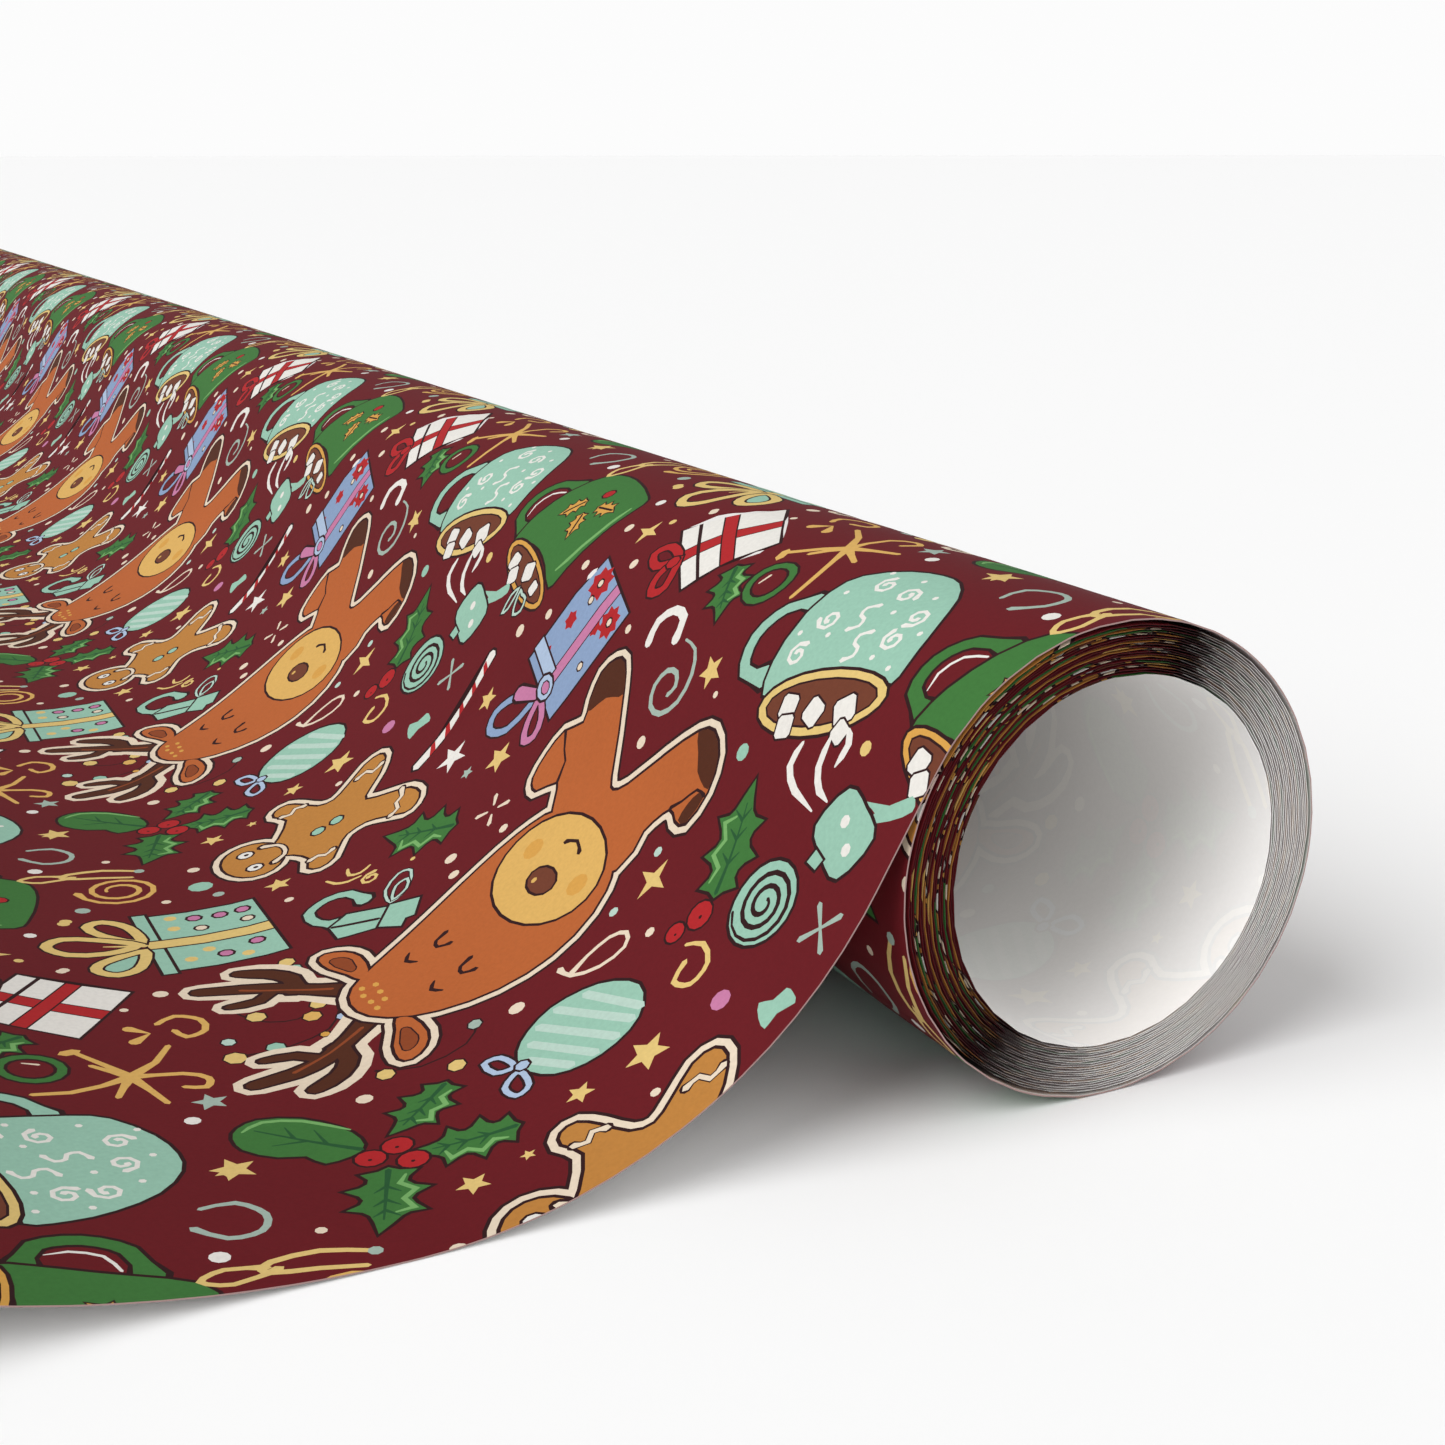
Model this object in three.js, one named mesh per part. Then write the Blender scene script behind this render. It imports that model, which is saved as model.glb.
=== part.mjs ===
// Roll of gift wrapping paper with its loose end run out on the surface it lies on.
//
// The roll is one long printed sheet wound without a core.  Its axis is parallel to Y and the sheet
// leaves it over the top towards -X, printed face up.  The sheet is built as separate stretches,
// split where it bends or moves: the outermost turn, the drop and the wave of the loose sheet, three
// groups of turns that can slip inside the outermost one, the innermost turn with the inner cut end,
// and three panels of the loose end that lift.
// Units are millimetres, +Z is up, and the origin is the middle of the footprint.

import * as THREE from 'three';

// Driving dimensions
const SHEET_WIDTH = 762;            // 30 inch wide sheet, which is the length of the roll
const PAPER_THICKNESS = 0.12;       // 90 gram paper
const ROLL_RADIUS = 19;             // outer face where the sheet leaves the roll
const BORE_RADIUS = 14.6;           // inner face of the innermost turn
const TURN_COUNT = 22;              // all turns, with the outermost one
const TURN_PITCH = (ROLL_RADIUS - BORE_RADIUS) / TURN_COUNT;
const TURNING_CLEARANCE = 0.24;     // lets the inner turns rotate inside the outermost turn

const LEAVING_ANGLE = 150;          // degrees round the roll from +X, where the sheet leaves it
const DROP_RADIUS = 40;             // sag of the sheet between the roll and the surface
const RISE_RADIUS = 91;             // slow lift of the sheet after it first touches the surface
const RISE_SLOPE = 18;              // degrees
const CREST_RADIUS = 60;            // round top of the wave in the sheet
const FALL_SLOPE = 16;              // degrees
const LANDING_RADIUS = 60;
const FLAT_LENGTH = 15;             // flat stretch before the panels that lift
const PANEL_LENGTH = 20;
const PANEL_COUNT = 3;

const JOINT_GAP = 0.3;              // between two stretches that meet end to end
const FACET = 10;                   // degrees of arc for one flat facet
const SPIRAL_GROUPS = [
  { name: 'outer_windings', turns: 7 },
  { name: 'middle_windings', turns: 7 },
  { name: 'inner_windings', turns: 6 },
  { name: 'innermost_turn', turns: 1 },
];

const BOTTOM_ANGLE = -90;
const printedPaper = () => new THREE.MeshStandardMaterial({ color: 0x5e1420, roughness: 0.8, metalness: 0 });
const plainPaper = () => new THREE.MeshStandardMaterial({ color: 0xe9e8e6, roughness: 0.85, metalness: 0 });

const radians = (degrees) => THREE.MathUtils.degToRad(degrees);
const heading = (degrees) => new THREE.Vector2(Math.cos(radians(degrees)), Math.sin(radians(degrees)));

// A sheet stretch is a list of stations on its back face.  Each has a place and the unit direction
// that points through the paper to the printed face.
function station(place, outward) {
  return { place, outward };
}

// Solid strip of paper: the stations give its section in the XZ plane, extruded over the width.
function paperStrip(stations) {
  const back = stations.map((s) => s.place);
  const print = stations.map((s) => s.place.clone().addScaledVector(s.outward, PAPER_THICKNESS));
  const section = new THREE.Shape([...back, ...print.reverse()]);
  const solid = new THREE.ExtrudeGeometry(section, { depth: SHEET_WIDTH, bevelEnabled: false });
  solid.rotateX(Math.PI / 2);
  solid.translate(0, SHEET_WIDTH / 2, 0);
  return solid;
}

// Turns run inwards from the place where the sheet leaves the roll, clockwise seen from -Y.
function windingRadius(startRadius, pitch, turned) {
  return startRadius - pitch * turned / 360;
}

// Stations of a spiral between two turned angles, in degrees, on facets that line up turn over turn.
function spiral(startRadius, pitch, fromTurned, toTurned) {
  const stations = [];
  const turnedAngles = [];
  for (let turned = fromTurned; turned < toTurned; turned += FACET) {
    turnedAngles.push(turned);
  }
  turnedAngles.push(toTurned);
  for (const turned of turnedAngles) {
    const outward = heading(LEAVING_ANGLE - turned);
    const backRadius = windingRadius(startRadius, pitch, turned) - PAPER_THICKNESS;
    stations.push(station(outward.clone().multiplyScalar(backRadius), outward));
  }
  return stations;
}

// Walks along the back face of the loose sheet.  A stretch is straight, or bends at a radius by a
// number of degrees: positive bends down, negative bends up.
class SheetWalker {
  constructor(place, direction) {
    this.place = place.clone();
    this.direction = direction;
  }

  outward() {
    return heading(this.direction - 90);
  }

  here() {
    return station(this.place.clone(), this.outward());
  }

  straight(length) {
    this.place.addScaledVector(heading(this.direction), length);
    return [this.here()];
  }

  bend(radius, angle) {
    const steps = Math.ceil(Math.abs(angle) / 4);
    const side = Math.sign(angle);
    const centre = this.place.clone().addScaledVector(this.outward(), -side * radius);
    const startDirection = this.direction;
    const stations = [];
    for (let i = 1; i <= steps; i++) {
      this.direction = startDirection + angle * i / steps;
      this.place = centre.clone().addScaledVector(this.outward(), side * radius);
      stations.push(this.here());
    }
    return stations;
  }
}

// Roll centre: the lowest point of the outermost turn touches the surface.
const turnedToBottom = LEAVING_ANGLE - BOTTOM_ANGLE;
const ROLL_CENTRE_HEIGHT = windingRadius(ROLL_RADIUS, TURN_PITCH, turnedToBottom);

// Height gained along an arc that starts level.
function arcHeight(radius, angle) {
  return radius * (1 - Math.cos(radians(angle)));
}

// Loose sheet, walked from the roll to the cut end.  Straight lengths bring each arc to its height,
// so that the sheet touches the surface after the drop and again after the crest.
const leaving = heading(LEAVING_ANGLE).multiplyScalar(ROLL_RADIUS - PAPER_THICKNESS);
leaving.y += ROLL_CENTRE_HEIGHT;
const dropAngle = LEAVING_ANGLE - 90;
const halfDropAngle = dropAngle / 2;
const gapDrop = JOINT_GAP * Math.sin(radians(halfDropAngle));
const straightDropHeight = leaving.y - arcHeight(DROP_RADIUS, dropAngle) - gapDrop;
const straightDrop = straightDropHeight / Math.sin(radians(dropAngle));

const walker = new SheetWalker(leaving, LEAVING_ANGLE + 90);
const looseStretches = [];

// Starts a stretch one joint gap along the sheet and keeps the stations that its moves return.
function addStretch(name, moves) {
  walker.straight(JOINT_GAP);
  const stations = [walker.here()];
  for (const move of moves) {
    stations.push(...move());
  }
  looseStretches.push({ name, stations });
}

addStretch('sheet_drop_upper', [
  () => walker.straight(straightDrop - JOINT_GAP),
  () => walker.bend(DROP_RADIUS, -halfDropAngle),
]);
addStretch('sheet_drop_lower', [() => walker.bend(DROP_RADIUS, -halfDropAngle)]);
addStretch('sheet_rise', [() => walker.bend(RISE_RADIUS, -RISE_SLOPE)]);
addStretch('sheet_crest', [() => walker.bend(CREST_RADIUS, RISE_SLOPE + FALL_SLOPE)]);
const straightFallHeight = walker.place.y - arcHeight(LANDING_RADIUS, FALL_SLOPE);
const straightFall = straightFallHeight / Math.sin(radians(FALL_SLOPE));
addStretch('sheet_landing', [
  () => walker.straight(straightFall - JOINT_GAP),
  () => walker.bend(LANDING_RADIUS, -FALL_SLOPE),
  () => walker.straight(FLAT_LENGTH),
]);
for (let i = 1; i <= PANEL_COUNT; i++) {
  addStretch(`sheet_end_${i}`, [() => walker.straight(PANEL_LENGTH - JOINT_GAP)]);
}
const sheetEnd = walker.place.x;

// Assembly
const roll = new THREE.Group();
const rightmost = windingRadius(ROLL_RADIUS, TURN_PITCH, LEAVING_ANGLE);
roll.position.x = -(sheetEnd + rightmost) / 2;

function addStrip(name, stations, material, centreHeight = 0) {
  const mesh = new THREE.Mesh(paperStrip(stations), material);
  mesh.name = name;
  mesh.position.z = centreHeight;
  roll.add(mesh);
}

addStrip('outer_turn', spiral(ROLL_RADIUS, TURN_PITCH, 0, 360), printedPaper(), ROLL_CENTRE_HEIGHT);
for (const stretch of looseStretches) {
  addStrip(stretch.name, stretch.stations, printedPaper());
}

const innerStart = ROLL_RADIUS - TURN_PITCH - PAPER_THICKNESS - TURNING_CLEARANCE;
const innerTurns = TURN_COUNT - 1;
const innerPitch = (innerStart - PAPER_THICKNESS - BORE_RADIUS) / innerTurns;
let turnsWound = 0;
for (const group of SPIRAL_GROUPS) {
  const fromTurned = turnsWound * 360;
  turnsWound += group.turns;
  const gapAngle = THREE.MathUtils.radToDeg(JOINT_GAP / BORE_RADIUS);
  const stations = spiral(innerStart, innerPitch, fromTurned, turnsWound * 360 - gapAngle);
  const material = group.name === 'innermost_turn' ? plainPaper() : printedPaper();
  addStrip(group.name, stations, material, ROLL_CENTRE_HEIGHT);
}

export default roll;
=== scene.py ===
import math

import bpy
import numpy as np
from mathutils import Euler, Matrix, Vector
from mathutils.geometry import delaunay_2d_cdt


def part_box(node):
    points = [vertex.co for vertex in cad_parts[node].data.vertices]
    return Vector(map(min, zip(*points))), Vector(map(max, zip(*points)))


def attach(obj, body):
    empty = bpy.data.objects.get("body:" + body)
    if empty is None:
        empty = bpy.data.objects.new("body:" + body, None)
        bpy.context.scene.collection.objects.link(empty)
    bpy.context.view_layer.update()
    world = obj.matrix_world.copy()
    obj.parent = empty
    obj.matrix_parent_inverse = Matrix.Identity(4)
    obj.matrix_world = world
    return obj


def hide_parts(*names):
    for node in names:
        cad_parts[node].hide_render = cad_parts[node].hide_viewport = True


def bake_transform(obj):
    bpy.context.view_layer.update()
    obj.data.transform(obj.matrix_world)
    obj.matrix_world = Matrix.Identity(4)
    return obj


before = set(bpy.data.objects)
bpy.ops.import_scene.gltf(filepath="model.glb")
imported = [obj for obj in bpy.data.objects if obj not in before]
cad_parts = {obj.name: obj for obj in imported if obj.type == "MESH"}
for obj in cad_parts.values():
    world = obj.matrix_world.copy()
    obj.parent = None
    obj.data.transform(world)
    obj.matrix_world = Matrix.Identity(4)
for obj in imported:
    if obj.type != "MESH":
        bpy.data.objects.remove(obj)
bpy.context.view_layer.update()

# Roll of printed gift wrap with its loose end run out on the surface it lies on.
#
# The paper is one long sheet.  A place on it is (along, across), in millimetres: along is 0 where
# the sheet leaves the roll, positive towards the loose end and negative back round the roll, and
# across is 0 at the edge near the camera.  The print is drawn once on the flat, as one repeat of the
# pattern, cut into triangles that follow its outlines, and laid over the sheet's bent shape.

MM = 0.001

# Driving dimensions of the sheet, in millimetres, the same as in the CAD model
SHEET_WIDTH = 762.0
PAPER_THICKNESS = 0.12
ROLL_RADIUS = 19.0
BORE_RADIUS = 14.6
TURN_COUNT = 22
TURN_PITCH = (ROLL_RADIUS - BORE_RADIUS) / TURN_COUNT
LEAVING_ANGLE = 150.0
DROP_RADIUS = 40.0
RISE_RADIUS = 91.0
RISE_SLOPE = 18.0
CREST_RADIUS = 60.0
FALL_SLOPE = 16.0
LANDING_RADIUS = 60.0
FLAT_LENGTH = 15.0
PANEL_LENGTH = 20.0
PANEL_COUNT = 3
JOINT_GAP = 0.3

# The turns under the outermost one are drawn thinner than the paper, so that the air between them
# shows at the cut edge.
WOUND_THICKNESS = 0.03
WOUND_OUTER_RADIUS = 18.54
WOUND_WOBBLE = 0.008        # unevenness of the wound turns
GROUP_TURNS = {"outer": 7, "middle": 7, "inner": 6, "innermost": 1}
PUSHED_OUT = 16.0           # print shown on the turns that slide out of the roll
EDGE_BAND = 1.0             # print shown at the cut edge of the wound turns
BORE_BAND = 80.0            # show-through of the print inside the bore, from each end
CUT_END_EXTRA = 2.0         # how far the piece at the cut end reaches past the middle of its panel

REPEAT_ALONG = 79.5
REPEAT_ACROSS = 82.0
CURVE_ERROR = 0.075         # how far a drawn curve may cut its corners
STEP = 0.01                 # grid that every flat place lies on, so that faces meet exactly
BENDS_ALONG = 28            # places in one repeat where the sheet can bend, along and across it
BENDS_ACROSS = 6
SHEET_SPACING = 2.0         # width of the long triangles on plain paper
WOUND_SPACING = 1.4

# Axis of the roll and its near end, in millimetres, from the outer turn in model.glb
outer_turn_low, outer_turn_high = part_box("outer_turn")
ROLL_RIGHT_RADIUS = ROLL_RADIUS - TURN_PITCH * LEAVING_ANGLE / 360
CENTRE_X = outer_turn_high[0] / MM - ROLL_RIGHT_RADIUS
CENTRE_Z = ROLL_RADIUS - TURN_PITCH * (LEAVING_ANGLE + 90) / 360
NEAR_Y = outer_turn_low[1] / MM


# --- Colours -------------------------------------------------------------------------------------

def linear(colour):
    """Scene-linear red, green and blue of a colour given as a six-figure web colour."""
    values = [int(colour[i:i + 2], 16) / 255 for i in (0, 2, 4)]
    return [v / 12.92 if v <= 0.04045 else ((v + 0.055) / 1.055) ** 2.4 for v in values]


INKS = {
    "maroon": "5e1219",
    "line": "2b1214",
    "cream": "d3c3ae",
    "white": "d5d2cc",
    "yellow": "cdb16e",
    "amber": "c49245",
    "mint": "8ab3a0",
    "pale_mint": "a9c1b5",
    "green": "386b33",
    "dark_green": "224f2c",
    "leaf_light": "6c9e5d",
    "red": "a11f23",
    "blue": "7e93b3",
    "pale_blue": "9fb1c9",
    "pink": "b57095",
    "deer": "a8592c",
    "deer_dark": "813e1f",
    "tan": "c9a058",
    "hoof": "4a2414",
    "ginger": "ab7436",
    "cocoa": "663625",
    "grey_mint": "95a79c",
}
# One plain paper in two copies: painted shade darkens the back of the loose sheet, which faces the key
# light, and painted light brightens the back inside the roll and the white side of the wound turns' cut
# edges.
SHADED_PAPER = "dbd9d6"            # plain back of the loose sheet
LIT_PAPER = "f8f7f5"       # plain back inside the roll, where light is passed from side to side
SHEET_EDGE = "9a7f7c"       # cut edge of the loose sheet, a greyish pink darker than its plain back
SHEET_TRACE = 0.06          # share of the print's colour seen through the paper
BORE_TRACE = 0.10           # the same inside the roll
INK_NAMES = list(INKS)
INK_COLOURS = np.array([linear(INKS[name]) for name in INK_NAMES])
GROUND = INK_NAMES.index("maroon")


# --- Flat outlines -------------------------------------------------------------------------------

TAPER = 4               # a narrowed end widens this much over the length of the line
SMALL_CAP = 0.3         # half width up to which the end of a line is a plain point


def circle(centre, radius, count=8, squeeze=1.0, turn=0.0):
    """Ring of a circle, or of an ellipse squeezed across and turned by degrees."""
    angles = np.arange(count) * 2 * math.pi / count
    ring = np.stack([radius * np.cos(angles), radius * squeeze * np.sin(angles)], axis=1)
    return turned(ring, turn) + np.array(centre)


def turned(points, degrees):
    """Points turned about the origin."""
    c, s = math.cos(math.radians(degrees)), math.sin(math.radians(degrees))
    return np.asarray(points, float) @ np.array([[c, s], [-s, c]])


def placed(points, centre, degrees=0.0, size=1.0):
    """Points drawn about the origin, scaled, turned and moved to a centre."""
    return turned(np.asarray(points, float) * size, degrees) + np.array(centre)


def around(centre, radii, angles):
    """Points at these distances and angles, in radians, from a centre."""
    return np.stack([radii * np.cos(angles), radii * np.sin(angles)], axis=1) + np.array(centre)


def star(centre, radius, points, depth, turn):
    """Ring of a star; depth is the share of its radius where two of its points meet."""
    angles = math.radians(turn) + np.arange(2 * points) * math.pi / points
    return around(centre, np.where(np.arange(2 * points) % 2, radius * depth, radius), angles)


def curve(points, closed=True):
    """Smooth line through the points, with more places where it turns more.

    A straight piece cuts a corner by an eighth of its length times the angle that it turns.
    """
    points = np.asarray(points, float)
    count = len(points)
    made = []
    for i in range(count if closed else count - 1):
        near = np.arange(i - 1, i + 3)
        a, b, c, d = points[near % count if closed else np.clip(near, 0, count - 1)]
        leaving, arriving = c - a, d - b
        turn = abs(math.atan2(leaving[0] * arriving[1] - leaving[1] * arriving[0], leaving @ arriving))
        pieces = max(1, math.ceil(math.sqrt(np.linalg.norm(c - b) * turn / (8 * CURVE_ERROR))))
        for t in np.arange(pieces) / pieces:
            made.append(0.5 * (2 * b + (c - a) * t + (2 * a - 5 * b + 4 * c - d) * t ** 2
                               + (3 * b - a - 3 * c + d) * t ** 3))
    if not closed:
        made.append(points[-1])
    return np.array(made)


def side_normals(points, closed):
    """Unit normals to the right of a line at its points, lengthened a little at corners."""
    before = np.roll(points, 1, axis=0)
    after = np.roll(points, -1, axis=0)
    if not closed:
        before[0] = points[0]
        after[-1] = points[-1]
    first = points - before
    second = after - points
    first /= np.maximum(np.linalg.norm(first, axis=1, keepdims=True), 1e-9)
    second /= np.maximum(np.linalg.norm(second, axis=1, keepdims=True), 1e-9)
    total = first + second
    length = np.linalg.norm(total, axis=1, keepdims=True)
    direction = total / np.maximum(length, 1e-9)
    normals = np.stack([direction[:, 1], -direction[:, 0]], axis=1)
    return normals / np.clip(length / 2, 0.6, 1)


def grown(ring, distance):
    """The ring moved outwards all round."""
    x, y = ring[:, 0], ring[:, 1]
    area = np.sum(x * np.roll(y, -1) - y * np.roll(x, -1))
    return ring + side_normals(ring, True) * distance * (1 if area > 0 else -1)


def ribbon(points, width, ends=(1.0, 1.0), closed=False):
    """Rings of a drawn line of that width, narrowed at its two ends."""
    points = np.asarray(points, float)
    count = len(points)
    share = np.linspace(0, 1, count)
    full = np.minimum(1, ends[0] + TAPER * share) * np.minimum(1, ends[1] + TAPER * (1 - share))
    half = width / 2 * (np.ones(count) if closed else full)[:, None]
    normals = side_normals(points, closed)
    right, left = points + normals * half, points - normals * half
    if closed:
        return [right, left[::-1]]
    tangents = np.stack([-normals[:, 1], normals[:, 0]], axis=1)
    start = round_cap(points[0], -tangents[0], normals[0], half[0])
    end = round_cap(points[-1], tangents[-1], -normals[-1], half[-1])
    return [np.concatenate([start, right, end, left[::-1]])]


def round_cap(place, forward, side, radius):
    """Places round the end of a drawn line, between its two sides."""
    angles = np.radians([-45, 0, 45] if radius > SMALL_CAP else [0])
    return np.array([place + radius * (forward * math.cos(a) + side * math.sin(a)) for a in angles])


def spiral_line(centre, inner, outer, turns, start=0.0, count=10):
    """Line that winds outwards from the inner to the outer radius."""
    share = np.linspace(0, 1, int(turns * count) + 1)
    angles = math.radians(start) + share * turns * 2 * math.pi
    radii = inner + (outer - inner) * share
    return around(centre, radii, angles)


# --- One repeat of the print ---------------------------------------------------------------------

SHAPES = []             # rings and the ink inside them, in the order they are painted
LINE = 0.32             # width of the dark outlines
HALO = 0.62             # width of the cream border round the figures


def paint(ink, *rings):
    SHAPES.append((list(rings), INK_NAMES.index(ink)))


def outlined(ring, ink, width=LINE):
    paint("line", grown(ring, width))
    paint(ink, ring)


def dots(ink, radius, places, count=8, outline=0, squeeze=1):
    """Round dots of one ink and size, with a dark outline if they have one."""
    for place in places:
        ring = circle(place, radius, count, squeeze)
        if outline:
            outlined(ring, ink, outline)
        else:
            paint(ink, ring)


def rectangle(start, end, low, high):
    return np.array([(start, high), (start, low), (end, low), (end, high)], float)


def drawn(points, width, ink, outline=0.0, smooth=True, closed=False, ends=(1.0, 1.0)):
    """A line in one ink, with a dark outline if it has one."""
    line = curve(points, closed) if smooth else np.asarray(points, float)
    if outline:
        paint("line", *ribbon(line, width + 2 * outline, ends, closed))
    paint(ink, *ribbon(line, width, ends, closed))


def bordered(rings, ink):
    """Shapes that join into one figure, with a dark line, a cream border and a dark edge."""
    for distance, under in ((2 * LINE + HALO, "line"), (LINE + HALO, "cream"), (LINE, "line")):
        for ring in rings:
            paint(under, grown(ring, distance))
    for ring in rings:
        paint(ink, ring)


def deer():
    """Resting reindeer, head towards the loose end of the sheet."""
    body = curve([
        (18.4, 48.6), (16.3, 50.9), (18.2, 53.4), (17.4, 55.4), (14.8, 56), (12.2, 55.3),
        (10.5, 52.7), (8.2, 53.6), (5.6, 54), (3.9, 52.6), (3.7, 50.8), (6, 48.5),
        (9.6, 45.7), (13.4, 42.7), (14.2, 41.2), (13, 39.4), (9, 36), (5.9, 32.7),
        (5.2, 30.4), (6.8, 28), (9.8, 27), (12.9, 27.6), (13.2, 29.2), (12.6, 31),
        (15.5, 32.8), (19.5, 32.6), (24, 41),
    ])
    head = curve([
        (17.8, 41), (18.6, 47.6), (22.5, 50.4), (27, 50.9), (31.5, 50), (36, 48.2),
        (40.2, 45.9), (43, 43.5), (44, 40.6), (43.3, 37.4), (40.5, 34.4), (36, 32),
        (31, 30.5), (26, 30.3), (21.5, 31.6), (18.8, 34.6),
    ])
    upper_ear = curve([(40.9, 45.6), (40.7, 48.8), (41.6, 51), (43.1, 52), (43.9, 51.2),
                       (43.6, 48.8), (42.6, 46.4), (42, 44.6)])
    lower_ear = upper_ear * (1, -1) + (-0.3, 79.6)
    for side, middle in ((1, 40.2), (-1, 40.4)):
        antler(side, middle)
    bordered([body, head, upper_ear, lower_ear], "deer")
    for ear, side in ((upper_ear, 1), (lower_ear, -1)):
        middle = ear.mean(axis=0)
        outlined(curve((ear[::2] - middle) * 0.52 + middle + (0.1, side * 0.2)), "deer_dark", 0.14)
    paint("hoof", curve([(3.9, 52.6), (5.6, 54), (9.4, 53.2), (7.4, 50.9), (6.3, 48.2), (3.7, 50.8)]))
    paint("hoof", curve([(5.9, 32.7), (5.2, 30.4), (6.8, 28), (9.6, 27.1), (8.8, 29.9), (7.4, 31.2)]))
    paint("hoof", curve([(10.2, 27.1), (12.9, 27.6), (13.1, 28.9), (11.6, 28.9), (10.3, 28.2)]))
    drawn([(12, 55.2), (13.6, 53.4), (14.4, 52), (16.4, 51)], 0.28, "line")
    drawn([(10.2, 27.2), (10.1, 28.6), (11.6, 29.9), (12.6, 31)], 0.28, "line")
    outlined(circle((23.1, 41.3), 5.7, 24, squeeze=1.42), "tan")
    outlined(circle((24.3, 41), 1.35, 12, squeeze=1.6), "cocoa", 0.28)
    dots("tan", 0.35, [(24.7, 42)], 6)
    dots("amber", 1.2, [(22.6, 46.2), (22.6, 35.9)], 10)
    drawn([(20.3, 42.6), (19.6, 41), (20.3, 39.4)], 0.36, "line")
    for v in (43.7, 37.2):
        drawn([(33.4, v + 1.1), (34.6, v + 0.7), (34.9, v - 0.4), (33.8, v - 1.1)], 0.38, "line")
    for v in (43.9, 37):
        drawn([(37.1, v + 1.1), (37.8, v), (37.1, v - 1.1)], 0.42, "line", ends=(0.3, 0.3))
    dots("amber", 0.3, [(41.2, 42.4), (42.4, 42.7), (41.3, 40.8), (42.7, 41.3), (42.5, 39.7), (41.4, 39.2),
                        (42.4, 38.2)], 6, squeeze=1.5)


def antler(side, middle):
    """Branching antler with a cream border and a few round lights, on one side of the head."""
    def across(points):
        return [(s, middle + side * v) for s, v in points]
    beams = [
        (across([(42.8, 2.8), (45.8, 5.6), (48.5, 8), (51.5, 9.4), (54.9, 10.2)]), 1.7),
        (across([(47.2, 6.8), (47, 9.2), (48.4, 11.4), (50.8, 12.9)]), 1.5),
        (across([(48.9, 8), (50.6, 6.2), (53.2, 6)]), 1.1),
    ]
    lines = [(curve(points, False), width) for points, width in beams]
    for extra, ink in ((2 * LINE + HALO, "cream"), (LINE, "line"), (0, "hoof")):
        for line, width in lines:
            paint(ink, *ribbon(line, width + 2 * extra, (0.8, 0.5)))
    drawn(across([(44.5, 4.6), (48, 7.2), (51.5, 9.2)]), 0.24, "deer_dark")


def lights():
    """String of small round lights hanging between the antlers."""
    drawn([(46.5, 51.5), (45.4, 47), (46.2, 43.2), (48.6, 41), (51.8, 42.4), (53.2, 45.6)], 0.2, "line")
    drawn([(45.2, 40.2), (46.8, 37.6), (50.5, 36.2), (54.6, 36)], 0.2, "line")
    drawn([(36.9, 27.8), (38.6, 26), (42.6, 25.8), (45.8, 27.8)], 0.2, "line")
    for s, v, radius, ink in (
        (46.4, 53.1, 0.75, "yellow"), (46.1, 51.4, 0.6, "mint"), (46.3, 42.8, 0.75, "yellow"),
        (47.4, 40.8, 0.8, "tan"), (51.6, 43.2, 0.85, "yellow"), (45.2, 39.1, 0.55, "pale_blue"),
        (47.4, 36.8, 0.4, "amber"), (51.6, 36.5, 0.8, "mint"), (55.1, 35.8, 0.95, "yellow"),
        (45.9, 30.9, 0.7, "yellow"), (45.3, 26.7, 0.75, "yellow"), (40.3, 23.6, 0.75, "yellow"),
        (37, 28.1, 0.6, "grey_mint"), (54.9, 39.1, 0.6, "pale_mint"), (53.1, 45.6, 0.6, "yellow"),
    ):
        outlined(circle((s, v), radius, 7, squeeze=1.15), ink, 0.16)


def mug(body, rim, ink, handle, ring_ink):
    """Mug lying on its side: handle, body, rim and the drink with marshmallows."""
    drawn(handle, 1.25, ink, outline=LINE)
    outlined(curve(body), ink)
    centre, size, squeeze, turn = rim
    outlined(circle(centre, size, 22, squeeze, turn), ring_ink)
    outlined(circle(centre, size * 0.86, 18, squeeze * 0.8, turn), "cocoa", 0.2)


def marshmallow(centre, size, turn):
    square = [(-1, -0.7), (-0.7, -1), (0.7, -1), (1, -0.7), (1, 0.7), (0.7, 1), (-0.7, 1), (-1, 0.7)]
    outlined(placed(square, centre, turn, size), "white", 0.2)


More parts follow.
